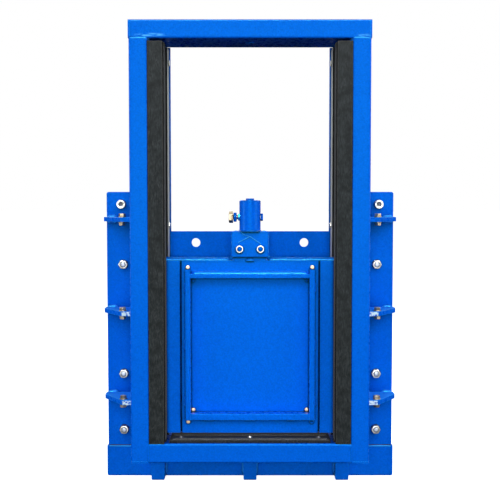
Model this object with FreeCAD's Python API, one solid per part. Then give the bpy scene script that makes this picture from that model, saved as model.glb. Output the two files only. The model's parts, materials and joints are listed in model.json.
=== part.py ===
"""Wall-mounted sluice gate: a welded frame, plastic guides and a leaf that slides up.

The wall face is the plane y = 0 and the front of the gate looks along -Y.
z = 0 is the underside of the bottom beam, and x = 0 is the middle of the gate.
Every length is in millimetres. Depths are counted from the front of the frame to the back.
"""
import FreeCAD, Part
import math
import os

# ------------------------------------------------------------------ frame members
FRAME_WIDTH = 520.0            # over the two posts
FRAME_HEIGHT = 960.0           # underside of the bottom beam to the top of the top beam
POST_FACE = 40.0               # width of a post as seen from the front
SECTION_DEPTH = 120.0          # posts and beams, front to back
TOP_BEAM_HEIGHT = 40.0
TOP_BEAM_OVERHANG = 1.0        # past each post
BOTTOM_BEAM_HEIGHT = 43.0
TUBE_WALL = 4.0
TUBE_RADIUS = 4.5              # rounded long edges of the hollow sections
STEM_HOLE_RADIUS = 10.0        # the stem passes through the top beam here

# ------------------------------------------------------------------ wall plates
PLATE_THICKNESS = 10.0
FLANGE_REACH = 68.0            # side flange past the post's outer side
FLANGE_TOP = 594.0
BACK_PLATE_LIP = 3.0           # wall plates past the rear guides, into the opening
SILL_PLATE_DROP = 63.5         # below the bottom beam
SILL_PLATE_TOP = 7.5
SILL_PLATE_OVERHANG = 3.0      # past the side flanges
PLATE_CORNER = 5.0             # rounded free corners of the wall plates
HEAD_PLATE_HEIGHT = 119.0
HEAD_HOLE_SPACING = 248.0
HEAD_HOLE_RADIUS = 10.0
HEAD_HOLE_DROP = 26.0          # below the head plate's top edge

# ------------------------------------------------------------------ lugs, anchors, foot ribs
LUG_THICKNESS = 10.0
LUG_SETBACK = 25.0             # lug front behind the frame front
LUG_NOSE_LENGTH = 22.0         # flat front end of a lug, beside the post
LUG_TAIL_DEPTH = 25.0          # blunt outer end of a lug
LUG_OVERHANG = 2.5             # past the side flange
LOWER_LUG_Z = 128.0
UPPER_LUG_DROP = 62.0          # below the top of the side flange
MIDDLE_LUG_SHIFT = -5.0        # from half way between the other two
LUG_BOLT_RADIUS = 4.0
LUG_BOLT_FLATS = 13.0
LUG_BOLT_HEAD = 6.5
LUG_HEAD_TURN = 15.0           # degrees that each hexagon stands turned
LUG_NUT_TURN = 40.0
LUG_BOLT_IN = 21.5             # from the post's outer side
LUG_BOLT_SETBACK = 17.0        # behind the lug's front end
WASHER_RADIUS = 8.5
WASHER_THICKNESS = 1.6

ANCHOR_RADIUS = 6.0
ANCHOR_FLATS = 19.0
ANCHOR_NUT_HEIGHT = 11.0
ANCHOR_END = 2.5               # stud past its nut
CAP_SCREW_RADIUS = 10.0        # the top anchor on each side is a socket head screw
CAP_SCREW_HEAD = 12.0
CAP_SOCKET_FLATS = 10.0
CAP_SOCKET_DEPTH = 6.0
ANCHOR_OUT = 30.5              # from the post's outer side
TOP_ANCHOR_OUT = 34.0
LOWER_ANCHOR_OFFSETS = (-82.0, 48.0)    # from the lower lug
UPPER_ANCHOR_OFFSET = -104.0            # from the upper lug
TOP_ANCHOR_OFFSET = 33.5                # from the upper lug

FOOT_RIB_WIDTH = 30.0
FOOT_RIB_DEPTH = 34.0
FOOT_RIB_IN = 10.0             # middle of an outer rib from the post's inner side
FOOT_RIB_CORNER = 2.5

# ------------------------------------------------------------------ guides and seals
GUIDE_END_GAP = 6.0            # below the top beam
FRONT_GUIDE_RECESS = 1.0       # behind the front of the posts
FRONT_GUIDE_WIDTH = 32.5
FRONT_GUIDE_THICKNESS = 16.0
MIDDLE_GUIDE_WIDTH = 35.0
MIDDLE_GUIDE_THICKNESS = 28.0
REAR_GUIDE_WIDTH = 36.0
GUIDE_SCREW_RADIUS = 4.0
GUIDE_SCREW_FLATS = 13.0
GUIDE_SCREW_HEAD = 3.0
GUIDE_SCREW_COUNT = 3
GUIDE_SCREW_DROP = 38.5        # top screw below the top beam
GUIDE_SCREW_RISE = 103.5       # bottom screw above the sill seal
GUIDE_CHAMFER = 0.8
SILL_SEAL_THICKNESS = 7.0
SILL_SEAL_SETBACK = 8.0
SILL_SEAL_END_GAP = 9.0        # to the middle guides
SILL_SEAL_EDGE = 2.0           # rounded front edge
SILL_SEAL_GROOVE = 1.5
SILL_SEAL_GROOVE_SETBACKS = (8.0, 36.0)
HEAD_SEAL_HEIGHT = 36.0
SEAL_SCREW_RADIUS = 5.0
SEAL_SCREW_IN = 24.0           # outer seal screws from the seal's ends
SEAL_SCREW_SETBACK = 23.0
SEAL_SCREW_SINK = 1.5

# ------------------------------------------------------------------ leaf
RUN_CLEARANCE = 5.0            # leaf to guides, seals and sill
EDGE_GAP = 10.0                # leaf edge to the post at the bottom of the slot
OPENING_HEIGHT = 335.0
LEAF_OVERLAP = 63.0            # leaf plate above the opening
LEAF_PLATE_THICKNESS = 10.0
FACE_THICKNESS = 12.0          # edge bars and face frame, in front of the leaf plate
FACE_STEP = 7.0                # face frame below the top of the leaf plate
EDGE_BAR_WIDTH = 54.5
SEAM_WIDTH = 4.0
SEAM_END = 8.0                 # seam strip short of the face frame's ends
SEAM_RECESS = 1.5
RIB_THICKNESS = 11.5
RIB_MARGIN = 8.0               # rib to seam
RIB_STAND = 13.0               # ribs in front of the face frame
TOP_RIB_DROP = 29.0            # top rib below the face frame's top edge
BOTTOM_RIB_RISE = 31.0         # bottom rib above the leaf's bottom edge
TOP_RIB_HEIGHT = 9.5
BOTTOM_RIB_HEIGHT = 14.5
RIB_RUN_PAST = 9.5             # side ribs above the top rib
STUD_RADIUS = 4.5
STUD_HEIGHT = 6.0
STUD_GAP = 0.5                 # stud to the rib beside it
LEAF_EDGE = 1.5                # rounded front edges of bars, ribs and bracket

# ------------------------------------------------------------------ hoist connection
HOIST_LUG_WIDTH = 70.0
BRACKET_WIDTH = 82.0
BRACKET_HEIGHT = 56.5
BRACKET_RISE = 8.5             # bracket's lower edge above the face frame
CHEEK_THICKNESS = 8.0
HOIST_BOLT_RADIUS = 5.0
HOIST_BOLT_FLATS = 16.0
HOIST_BOLT_NUT = 8.0
HOIST_BOLT_END = 1.5
HOIST_BOLT_SPACING = 46.0
HOIST_BOLT_RISE = 17.5         # above the bracket's lower edge
COUPLING_RADIUS = 23.5
COUPLING_HEIGHT = 68.5
COUPLING_CHAMFER = 1.5
COUPLING_LIP_RADIUS = 9.0
COUPLING_LIP_HEIGHT = 4.0
STEM_SOCKET_RADIUS = 7.0
STEM_SOCKET_DEPTH = 30.0       # from the top of the lip
LOCK_BOLT_RADIUS = 5.0
LOCK_BOLT_RISE = 31.0          # above the coupling's lower end
LOCK_HEAD_FLATS = 26.0
LOCK_HEAD_LENGTH = 9.5
LOCK_HEAD_OUT = 14.0           # head's inner face from the coupling's side
LOCK_NUT_FLATS = 19.0
LOCK_NUT_TURN = 12.0
LOCK_NUT_LENGTH = 7.0
LOCK_NUT_OUT = 6.0
LOCK_TIP_FLATS = 15.0
LOCK_TIP_TURN = 20.0
LOCK_TIP_LENGTH = 5.5

FIT_GAP = 0.4                  # bolt shank to its hole
BORE_RUN = 1.0                 # hole cutters run this far past the piece
NEAR = 0.01                    # points closer than this count as one place

# ------------------------------------------------------------------ places worked out from them
FRONT = -(SECTION_DEPTH + PLATE_THICKNESS)     # y of the frame's front
SECTION_BACK = -PLATE_THICKNESS                # y where the sections meet the wall plates
POST_OUT = FRAME_WIDTH / 2
POST_IN = POST_OUT - POST_FACE
TOP_BEAM_Z = FRAME_HEIGHT - TOP_BEAM_HEIGHT
FLANGE_OUT = POST_OUT + FLANGE_REACH
PLATE_IN = POST_IN - REAR_GUIDE_WIDTH - BACK_PLATE_LIP
SILL_Z = BOTTOM_BEAM_HEIGHT + SILL_SEAL_THICKNESS
OPENING_TOP = SILL_Z + OPENING_HEIGHT
HEAD_PLATE_TOP = OPENING_TOP + HEAD_PLATE_HEIGHT

UPPER_LUG_Z = FLANGE_TOP - UPPER_LUG_DROP
MIDDLE_LUG_Z = (LOWER_LUG_Z + UPPER_LUG_Z) / 2 + MIDDLE_LUG_SHIFT
LUG_ROWS = (LOWER_LUG_Z, MIDDLE_LUG_Z, UPPER_LUG_Z)
LUG_FRONT = FRONT + LUG_SETBACK

GUIDE_TOP = TOP_BEAM_Z - GUIDE_END_GAP
FRONT_GUIDE_Y = FRONT + FRONT_GUIDE_RECESS
MIDDLE_GUIDE_Y = FRONT_GUIDE_Y + FRONT_GUIDE_THICKNESS
SLOT_Y = MIDDLE_GUIDE_Y + MIDDLE_GUIDE_THICKNESS
FACE_Y = SLOT_Y + RUN_CLEARANCE                # front of the edge bars and face frame
LEAF_PLATE_Y = FACE_Y + FACE_THICKNESS
LEAF_BACK = LEAF_PLATE_Y + LEAF_PLATE_THICKNESS
REAR_GUIDE_Y = LEAF_BACK + RUN_CLEARANCE
REAR_GUIDE_IN = POST_IN - REAR_GUIDE_WIDTH

LEAF_OUT = POST_IN - EDGE_GAP
LEAF_BOTTOM = SILL_Z + RUN_CLEARANCE
LEAF_TOP = OPENING_TOP + LEAF_OVERLAP
FACE_TOP = LEAF_TOP - FACE_STEP
SEAM_OUT = LEAF_OUT - EDGE_BAR_WIDTH
FACE_FRAME_OUT = SEAM_OUT - SEAM_WIDTH
RIB_OUT = FACE_FRAME_OUT - RIB_MARGIN
RIB_IN = RIB_OUT - RIB_THICKNESS
TOP_RIB_Z = FACE_TOP - TOP_RIB_DROP - TOP_RIB_HEIGHT
BOTTOM_RIB_Z = LEAF_BOTTOM + BOTTOM_RIB_RISE
WINDOW_TOP = TOP_RIB_Z
WINDOW_BOTTOM = BOTTOM_RIB_Z + BOTTOM_RIB_HEIGHT
RIB_Y = FACE_Y - RIB_STAND

BRACKET_Z = FACE_TOP + BRACKET_RISE
BRACKET_TOP = BRACKET_Z + BRACKET_HEIGHT
BRACKET_Y = FACE_Y - CHEEK_THICKNESS
BRACKET_BACK = LEAF_PLATE_Y + CHEEK_THICKNESS
STEM_Y = (FACE_Y + LEAF_PLATE_Y) / 2           # the stem hangs over the hoist lug's middle
COUPLING_TOP = BRACKET_TOP + COUPLING_HEIGHT
LOCK_BOLT_Z = BRACKET_TOP + LOCK_BOLT_RISE


# ------------------------------------------------------------------ helpers
def vec(x, y, z):
    return FreeCAD.Vector(x, y, z)


def block(x0, x1, y0, y1, z0, z1):
    """A box between two values on each axis, given in either order."""
    low = vec(min(x0, x1), min(y0, y1), min(z0, z1))
    return Part.makeBox(abs(x1 - x0), abs(y1 - y0), abs(z1 - z0), low)


def rod(radius, length, start, direction):
    return Part.makeCylinder(radius, length, start, direction)


def hexagon(flats, length, start, direction, turn=0.0):
    """A hexagonal prism; turn is in degrees about its own axis."""
    axis = vec(*direction).normalize()
    side = vec(0, 0, 1) if abs(axis.z) < 0.9 else vec(1, 0, 0)
    other = axis.cross(side)
    corners = []
    for k in range(7):
        a = math.radians(60 * k + turn)
        reach = flats / math.sqrt(3)
        corners.append(start + side * (reach * math.cos(a)) + other * (reach * math.sin(a)))
    return Part.Face(Part.makePolygon(corners)).extrude(axis * length)


def plate_from(points, y0, y1):
    """A plate in the wall plane from (x, z) corners."""
    wire = Part.makePolygon([vec(x, y0, z) for x, z in points + points[:1]])
    return Part.Face(wire).extrude(vec(0, y1 - y0, 0))


def long_edges(shape, axis):
    """Edges of a box that run along one axis (0, 1 or 2)."""
    found = []
    for edge in shape.Edges:
        ends = [v.Point for v in edge.Vertexes]
        step = ends[1] - ends[0]
        if abs(abs(step[axis]) - step.Length) < NEAR:
            found.append(edge)
    return found


def hollow_section(outer, axis):
    """A rounded hollow section from its outer box, open at both ends along the axis."""
    box = outer.BoundBox
    low = [box.XMin + TUBE_WALL, box.YMin + TUBE_WALL, box.ZMin + TUBE_WALL]
    high = [box.XMax - TUBE_WALL, box.YMax - TUBE_WALL, box.ZMax - TUBE_WALL]
    low[axis] -= TUBE_WALL + BORE_RUN
    high[axis] += TUBE_WALL + BORE_RUN
    inner = block(low[0], high[0], low[1], high[1], low[2], high[2])
    rounded = outer.makeFillet(TUBE_RADIUS, long_edges(outer, axis))
    return rounded.cut(inner)


def rounded_corners(shape, radius, points, axis=1):
    """Round the edges along the axis that pass through the given (x, z) corners."""
    chosen = []
    for edge in long_edges(shape, axis):
        p = edge.Vertexes[0].Point
        if any(abs(p.x - x) < NEAR and abs(p.z - z) < NEAR for x, z in points):
            chosen.append(edge)
    return shape.makeFillet(radius, chosen)


def rounded_front(shape, radius, front, axis):
    """Round the edges along the axis that lie on the front face, at y = front."""
    edges = [e for e in long_edges(shape, axis) if e.Vertexes[0].Point.y < front + NEAR]
    return shape.makeFillet(radius, edges)


def right_of(shape):
    """The mirror image across the middle of the gate."""
    return shape.mirror(vec(0, 0, 0), vec(1, 0, 0))


def export(name, *shapes):
    solids = []
    for shape in shapes:
        solids.extend(shape.Solids)
    for solid in solids:
        if not solid.isValid():
            raise ValueError("bad solid in " + name)
    whole = solids[0] if len(solids) == 1 else Part.makeCompound(solids)
    whole.exportStep("parts/%s.step" % name)
    volume = sum(s.Volume for s in solids) / 1000
    print("%-22s %2d solids %9.1f cm3" % (name, len(solids), volume))


# ------------------------------------------------------------------ frame members
def left_post():
    outer = block(-POST_OUT, -POST_IN, FRONT, SECTION_BACK, TUBE_WALL, TOP_BEAM_Z)
    return hollow_section(outer, 2)


def top_beam():
    reach = POST_OUT + TOP_BEAM_OVERHANG - TUBE_WALL
    outer = block(-reach, reach, FRONT, SECTION_BACK, TOP_BEAM_Z, FRAME_HEIGHT)
    start = vec(0, STEM_Y, TOP_BEAM_Z - BORE_RUN)
    hole = rod(STEM_HOLE_RADIUS, TOP_BEAM_HEIGHT + 2 * BORE_RUN, start, vec(0, 0, 1))
    return hollow_section(outer, 0).cut(hole)


def bottom_beam():
    outer = block(-POST_IN, POST_IN, FRONT, SECTION_BACK, 0, BOTTOM_BEAM_HEIGHT)
    return hollow_section(outer, 0)


def end_caps():
    """Plates that close the ends of the top beam and the feet of the posts."""
    reach = POST_OUT + TOP_BEAM_OVERHANG
    side = block(-reach, -reach + TUBE_WALL, FRONT, SECTION_BACK, TOP_BEAM_Z, FRAME_HEIGHT)
    side = side.makeFillet(TUBE_RADIUS, long_edges(side, 0))
    foot = block(-POST_OUT, -POST_IN, FRONT, SECTION_BACK, 0, TUBE_WALL)
    foot = foot.makeFillet(TUBE_RADIUS, long_edges(foot, 2))
    return [side, right_of(side), foot, right_of(foot)]


# ------------------------------------------------------------------ wall plates
def anchor_places():
    """(x, z) of the four anchors on the left side, from the bottom up."""
    out = -(POST_OUT + ANCHOR_OUT)
    places = [(out, LOWER_LUG_Z + offset) for offset in LOWER_ANCHOR_OFFSETS]
    places.append((out, UPPER_LUG_Z + UPPER_ANCHOR_OFFSET))
    places.append((-(POST_OUT + TOP_ANCHOR_OUT), UPPER_LUG_Z + TOP_ANCHOR_OFFSET))
    return places


def left_wall_flange():
    plate = block(-FLANGE_OUT, -PLATE_IN, SECTION_BACK, 0, SILL_PLATE_TOP, FLANGE_TOP)
    plate = rounded_corners(plate, PLATE_CORNER, [(-FLANGE_OUT, FLANGE_TOP)])
    for x, z in anchor_places():
        start = vec(x, SECTION_BACK - BORE_RUN, z)
        hole = rod(ANCHOR_RADIUS + FIT_GAP, PLATE_THICKNESS + 2 * BORE_RUN, start, vec(0, 1, 0))
        plate = plate.cut(hole)
    return plate


def left_back_bar():
    """The strip behind the post and the guides, above the side flange."""
    return block(-POST_OUT, -PLATE_IN, SECTION_BACK, 0, FLANGE_TOP, TOP_BEAM_Z)


def sill_plate():
    out = FLANGE_OUT + SILL_PLATE_OVERHANG
    points = [(-out, -SILL_PLATE_DROP), (out, -SILL_PLATE_DROP), (out, SILL_PLATE_TOP),
              (PLATE_IN, SILL_PLATE_TOP), (PLATE_IN, SILL_Z), (-PLATE_IN, SILL_Z),
              (-PLATE_IN, SILL_PLATE_TOP), (-out, SILL_PLATE_TOP)]
    plate = plate_from(points, SECTION_BACK, 0)
    return rounded_corners(plate, PLATE_CORNER, points[:2])


def head_plate():
    plate = block(-PLATE_IN, PLATE_IN, SECTION_BACK, 0, OPENING_TOP, HEAD_PLATE_TOP)
    for side in (-1, 1):
        place = vec(side * HEAD_HOLE_SPACING / 2, SECTION_BACK - BORE_RUN,
                    HEAD_PLATE_TOP - HEAD_HOLE_DROP)
        plate = plate.cut(rod(HEAD_HOLE_RADIUS, PLATE_THICKNESS + 2 * BORE_RUN, place, vec(0, 1, 0)))
    return plate


def foot_ribs():
    """Three bars under the bottom beam, against the sill plate."""
    offset = POST_IN - FOOT_RIB_IN
    bars = []
    for x in (-offset, 0, offset):
        bar = block(x - FOOT_RIB_WIDTH / 2, x + FOOT_RIB_WIDTH / 2,
                    SECTION_BACK - FOOT_RIB_DEPTH, SECTION_BACK, -SILL_PLATE_DROP, 0)
        corners = [(x - FOOT_RIB_WIDTH / 2, -SILL_PLATE_DROP), (x + FOOT_RIB_WIDTH / 2, -SILL_PLATE_DROP)]
        bars.append(rounded_corners(bar, FOOT_RIB_CORNER, corners))
    return bars


# ------------------------------------------------------------------ lugs and anchors
def lug_bolt_place():
    return -(POST_OUT + LUG_BOLT_IN), LUG_FRONT + LUG_BOLT_SETBACK


def left_lugs():
    """Flat lugs between the post and the side flange, narrowing outwards."""
    tip = -(FLANGE_OUT + LUG_OVERHANG)
    outline = [(-POST_OUT, LUG_FRONT), (-(POST_OUT + LUG_NOSE_LENGTH), LUG_FRONT),
               (tip, SECTION_BACK - LUG_TAIL_DEPTH), (tip, SECTION_BACK), (-POST_OUT, SECTION_BACK)]
    bolt_x, bolt_y = lug_bolt_place()
    lugs = []
    for z in LUG_ROWS:
        bottom = z - LUG_THICKNESS / 2
        wire = Part.makePolygon([vec(x, y, bottom) for x, y in outline + outline[:1]])
        plate = Part.Face(wire).extrude(vec(0, 0, LUG_THICKNESS))
        start = vec(bolt_x, bolt_y, bottom - BORE_RUN)
        hole = rod(LUG_BOLT_RADIUS + FIT_GAP, LUG_THICKNESS + 2 * BORE_RUN, start, vec(0, 0, 1))
        lugs.append(plate.cut(hole))
    return lugs


def left_lug_bolts():
    """A bolt down through each lug: head and washer above, washer and nut below."""
    x, y = lug_bolt_place()
    up = vec(0, 0, 1)
    bolts = []
    for z in LUG_ROWS:
        top = z + LUG_THICKNESS / 2
        bottom = z - LUG_THICKNESS / 2
        grip = WASHER_THICKNESS + LUG_BOLT_HEAD
        shank = rod(LUG_BOLT_RADIUS, LUG_THICKNESS + 2 * grip, vec(x, y, bottom - grip), up)
        pieces = [rod(WASHER_RADIUS, WASHER_THICKNESS, vec(x, y, top), up),
                  hexagon(LUG_BOLT_FLATS, LUG_BOLT_HEAD, vec(x, y, top + WASHER_THICKNESS), up,
                          LUG_HEAD_TURN),
                  rod(WASHER_RADIUS, WASHER_THICKNESS, vec(x, y, bottom - WASHER_THICKNESS), up),
                  hexagon(LUG_BOLT_FLATS, LUG_BOLT_HEAD, vec(x, y, bottom - grip), up, LUG_NUT_TURN)]
        bolts.append(shank.multiFuse(pieces).removeSplitter())
    return bolts


def anchor_nut(x, z):
    """A stud flush with the wall face, with a nut on the front of the flange."""
    forward = vec(0, -1, 0)
    length = PLATE_THICKNESS + ANCHOR_NUT_HEIGHT + ANCHOR_END
    stud = rod(ANCHOR_RADIUS, length, vec(x, 0, z), forward)
    nut = hexagon(ANCHOR_FLATS, ANCHOR_NUT_HEIGHT, vec(x, SECTION_BACK, z), forward)
    return nut.fuse(stud).removeSplitter()


def cap_screw(x, z):
    """A round head with a hexagon socket; its shank is flush with the wall face."""
    forward = vec(0, -1, 0)
    shank = rod(ANCHOR_RADIUS, PLATE_THICKNESS, vec(x, 0, z), forward)
    head = rod(CAP_SCREW_RADIUS, CAP_SCREW_HEAD, vec(x, SECTION_BACK, z), forward)
    floor = SECTION_BACK - CAP_SCREW_HEAD + CAP_SOCKET_DEPTH
    socket = hexagon(CAP_SOCKET_FLATS, CAP_SOCKET_DEPTH + BORE_RUN, vec(x, floor, z), forward)
    return shank.fuse(head).removeSplitter().cut(socket)


def left_anchor_bolts():
    places = anchor_places()
    nuts = [anchor_nut(x, z) for x, z in places[:-1]]
    return nuts + [cap_screw(*places[-1])]


# ------------------------------------------------------------------ guides and seals
def guide_screw_rows():
    low = SILL_Z + GUIDE_SCREW_RISE
    high = TOP_BEAM_Z - GUIDE_SCREW_DROP
    pitch = (high - low) / (GUIDE_SCREW_COUNT - 1)
    return [low + k * pitch for k in range(GUIDE_SCREW_COUNT)]


def guide_bar(width, y0, y1):
    bar = block(-POST_IN, -POST_IN + width, y0, y1, BOTTOM_BEAM_HEIGHT, GUIDE_TOP)
    return bar.makeChamfer(GUIDE_CHAMFER, long_edges(bar, 2))


def left_front_guide():
    return guide_bar(FRONT_GUIDE_WIDTH, FRONT_GUIDE_Y, MIDDLE_GUIDE_Y)


def left_middle_guide():
    return guide_bar(MIDDLE_GUIDE_WIDTH, MIDDLE_GUIDE_Y, SLOT_Y)


def left_rear_guide():
    bar = guide_bar(REAR_GUIDE_WIDTH, REAR_GUIDE_Y, SECTION_BACK)
    middle = (REAR_GUIDE_Y + SECTION_BACK) / 2
    for z in guide_screw_rows():
        start = vec(-POST_IN - BORE_RUN, middle, z)
        length = REAR_GUIDE_WIDTH + 2 * BORE_RUN
        bar = bar.cut(rod(GUIDE_SCREW_RADIUS + FIT_GAP, length, start, vec(1, 0, 0)))
    return bar


def left_guide_screws():
    """Hexagon screws through the rear guide into the post."""
    middle = (REAR_GUIDE_Y + SECTION_BACK) / 2
    screws = []
    for z in guide_screw_rows():
        shank = rod(GUIDE_SCREW_RADIUS, REAR_GUIDE_WIDTH, vec(-POST_IN, middle, z), vec(1, 0, 0))
        head = hexagon(GUIDE_SCREW_FLATS, GUIDE_SCREW_HEAD, vec(-REAR_GUIDE_IN, middle, z), vec(1, 0, 0))
        screws.append(shank.fuse(head).removeSplitter())
    return screws


def seal_reach():
    return POST_IN - MIDDLE_GUIDE_WIDTH - SILL_SEAL_END_GAP


def seal_screw_places():
    outer = seal_reach() - SEAL_SCREW_IN
    y = FRONT + SILL_SEAL_SETBACK + SEAL_SCREW_SETBACK
    return [(x, y) for x in (-outer, 0, outer)]


def sill_seal():
    """Black bar on the bottom beam with two shallow grooves along its top."""
    reach = seal_reach()
    front = FRONT + SILL_SEAL_SETBACK
    bar = block(-reach, reach, front, REAR_GUIDE_Y, BOTTOM_BEAM_HEIGHT, SILL_Z)
    top_front = [e for e in long_edges(bar, 0)
                 if e.Vertexes[0].Point.z > SILL_Z - NEAR and e.Vertexes[0].Point.y < front + NEAR]
    bar = bar.makeFillet(SILL_SEAL_EDGE, top_front)
    for setback in SILL_SEAL_GROOVE_SETBACKS:
        groove = rod(SILL_SEAL_GROOVE, 2 * (reach + BORE_RUN),
                     vec(-reach - BORE_RUN, front + setback, SILL_Z), vec(1, 0, 0))
        bar = bar.cut(groove)
    for x, y in seal_screw_places():
        hole = rod(SEAL_SCREW_RADIUS + FIT_GAP, SILL_SEAL_THICKNESS + 2 * BORE_RUN,
                   vec(x, y, BOTTOM_BEAM_HEIGHT - BORE_RUN), vec(0, 0, 1))
        bar = bar.cut(hole)
    return bar


def sill_seal_screws():
    """Screw heads in the seal, a little below its top."""
    height = SILL_SEAL_THICKNESS - SEAL_SCREW_SINK
    return [rod(SEAL_SCREW_RADIUS, height, vec(x, y, BOTTOM_BEAM_HEIGHT), vec(0, 0, 1))
            for x, y in seal_screw_places()]


def head_seal():
    """Black bar in front of the head plate, between the rear guides."""
    return block(-REAR_GUIDE_IN, REAR_GUIDE_IN, REAR_GUIDE_Y, SECTION_BACK,
                 OPENING_TOP, OPENING_TOP + HEAD_SEAL_HEIGHT)


# ------------------------------------------------------------------ leaf
def leaf_plate():
    return block(-LEAF_OUT, LEAF_OUT, LEAF_PLATE_Y, LEAF_BACK, LEAF_BOTTOM, LEAF_TOP)


def left_edge_bar():
    bar = block(-LEAF_OUT, -SEAM_OUT, FACE_Y, LEAF_PLATE_Y, LEAF_BOTTOM, FACE_TOP)
    return rounded_front(bar, LEAF_EDGE, FACE_Y, 2)


def leaf_face_frame():
    """Flat frame on the leaf plate, open over the plain middle panel."""
    plate = block(-FACE_FRAME_OUT, FACE_FRAME_OUT, FACE_Y, LEAF_PLATE_Y, LEAF_BOTTOM, FACE_TOP)
    window = block(-RIB_IN, RIB_IN, FACE_Y - BORE_RUN, LEAF_PLATE_Y + BORE_RUN, WINDOW_BOTTOM, WINDOW_TOP)
    return plate.cut(window)


def seam_strips():
    """Dark sealing strips between the edge bars and the face frame."""
    strip = block(-SEAM_OUT, -FACE_FRAME_OUT, FACE_Y + SEAM_RECESS, LEAF_PLATE_Y,
                  LEAF_BOTTOM + SEAM_END, FACE_TOP - SEAM_END)
    return [strip, right_of(strip)]


def side_ribs():
    top = TOP_RIB_Z + TOP_RIB_HEIGHT + RIB_RUN_PAST
    rib = block(-RIB_OUT, -RIB_IN, RIB_Y, FACE_Y, BOTTOM_RIB_Z, top)
    rib = rounded_front(rib, LEAF_EDGE, RIB_Y, 2)
    return [rib, right_of(rib)]


def cross_ribs():
    ribs = []
    for z, height in ((BOTTOM_RIB_Z, BOTTOM_RIB_HEIGHT), (TOP_RIB_Z, TOP_RIB_HEIGHT)):
        rib = block(-RIB_IN, RIB_IN, RIB_Y, FACE_Y, z, z + height)
        ribs.append(rounded_front(rib, LEAF_EDGE, RIB_Y, 0))
    return ribs


def leaf_studs():
    """Round stud ends: four beyond the side ribs, four in the corners of the panel."""
    back = vec(0, -1, 0)
    outer_x = RIB_OUT - RIB_THICKNESS / 2
    inner_x = RIB_IN - STUD_RADIUS - STUD_GAP
    high = TOP_RIB_Z + TOP_RIB_HEIGHT + RIB_RUN_PAST + STUD_RADIUS + STUD_GAP
    low = BOTTOM_RIB_Z - STUD_RADIUS - STUD_GAP
    studs = []
    for side in (-1, 1):
        for z in (low, high):
            studs.append(rod(STUD_RADIUS, STUD_HEIGHT, vec(side * outer_x, FACE_Y, z), back))
        for z in (WINDOW_BOTTOM + STUD_RADIUS + STUD_GAP, WINDOW_TOP - STUD_RADIUS - STUD_GAP):
            studs.append(rod(STUD_RADIUS, STUD_HEIGHT, vec(side * inner_x, LEAF_PLATE_Y, z), back))
    return studs


# ------------------------------------------------------------------ hoist connection
def hoist_bolt_places():
    z = BRACKET_Z + HOIST_BOLT_RISE
    return [(side * HOIST_BOLT_SPACING / 2, z) for side in (-1, 1)]


def bored_for_hoist_bolts(shape, y0, y1):
    for x, z in hoist_bolt_places():
        start = vec(x, y0 - BORE_RUN, z)
        length = y1 - y0 + 2 * BORE_RUN
        shape = shape.cut(rod(HOIST_BOLT_RADIUS + FIT_GAP, length, start, vec(0, 1, 0)))
    return shape


def hoist_lug():
    """Plate standing on the face frame, between the bracket's cheeks."""
    half = HOIST_LUG_WIDTH / 2
    plate = block(-half, half, FACE_Y, LEAF_PLATE_Y, FACE_TOP, BRACKET_TOP - CHEEK_THICKNESS)
    return bored_for_hoist_bolts(plate, FACE_Y, LEAF_PLATE_Y)


def hoist_bracket():
    """Two cheeks over the lug, joined by a top plate that carries the coupling."""
    half = BRACKET_WIDTH / 2
    whole = block(-half, half, BRACKET_Y, BRACKET_BACK, BRACKET_Z, BRACKET_TOP)
    rim = [e for e in whole.Edges if all(v.Point.y < BRACKET_Y + NEAR for v in e.Vertexes)]
    whole = whole.makeFillet(LEAF_EDGE, rim)
    gap = block(-half - BORE_RUN, half + BORE_RUN, FACE_Y, LEAF_PLATE_Y,
                BRACKET_Z - BORE_RUN, BRACKET_TOP - CHEEK_THICKNESS)
    return bored_for_hoist_bolts(whole.cut(gap), BRACKET_Y, BRACKET_BACK)


def hoist_bolts():
    """Bolts through bracket and lug: a nut and bolt end in front, a head behind."""
    forward = vec(0, 1, 0)
    bolts = []
    for x, z in hoist_bolt_places():
        front = BRACKET_Y - HOIST_BOLT_NUT
        length = BRACKET_BACK - BRACKET_Y + HOIST_BOLT_NUT + HOIST_BOLT_END
        shank = rod(HOIST_BOLT_RADIUS, length, vec(x, front - HOIST_BOLT_END, z), forward)
        nut = hexagon(HOIST_BOLT_FLATS, HOIST_BOLT_NUT, vec(x, front, z), forward)
        head = hexagon(HOIST_BOLT_FLATS, HOIST_BOLT_NUT, vec(x, BRACKET_BACK, z), forward)
        bolts.append(shank.multiFuse([nut, head]).removeSplitter())
    return bolts


def stem_coupling():
    """Socket for the lifting stem: a round body with a raised lip and a blind bore."""
    up = vec(0, 0, 1)
    body = rod(COUPLING_RADIUS, COUPLING_HEIGHT, vec(0, STEM_Y, BRACKET_TOP), up)
    rim = [e for e in body.Edges if e.Closed and e.Vertexes[0].Point.z > COUPLING_TOP - NEAR]
    body = body.makeChamfer(COUPLING_CHAMFER, rim)
    lip = rod(COUPLING_LIP_RADIUS, COUPLING_LIP_HEIGHT, vec(0, STEM_Y, COUPLING_TOP), up)
    top = COUPLING_TOP + COUPLING_LIP_HEIGHT
    bore = rod(STEM_SOCKET_RADIUS, STEM_SOCKET_DEPTH + BORE_RUN, vec(0, STEM_Y, top - STEM_SOCKET_DEPTH), up)
    start = vec(-COUPLING_RADIUS - BORE_RUN, STEM_Y, LOCK_BOLT_Z)
    cross = rod(LOCK_BOLT_RADIUS + FIT_GAP, 2 * (COUPLING_RADIUS + BORE_RUN), start, vec(1, 0, 0))
    return body.fuse(lip).cut(bore).cut(cross).removeSplitter()


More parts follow.
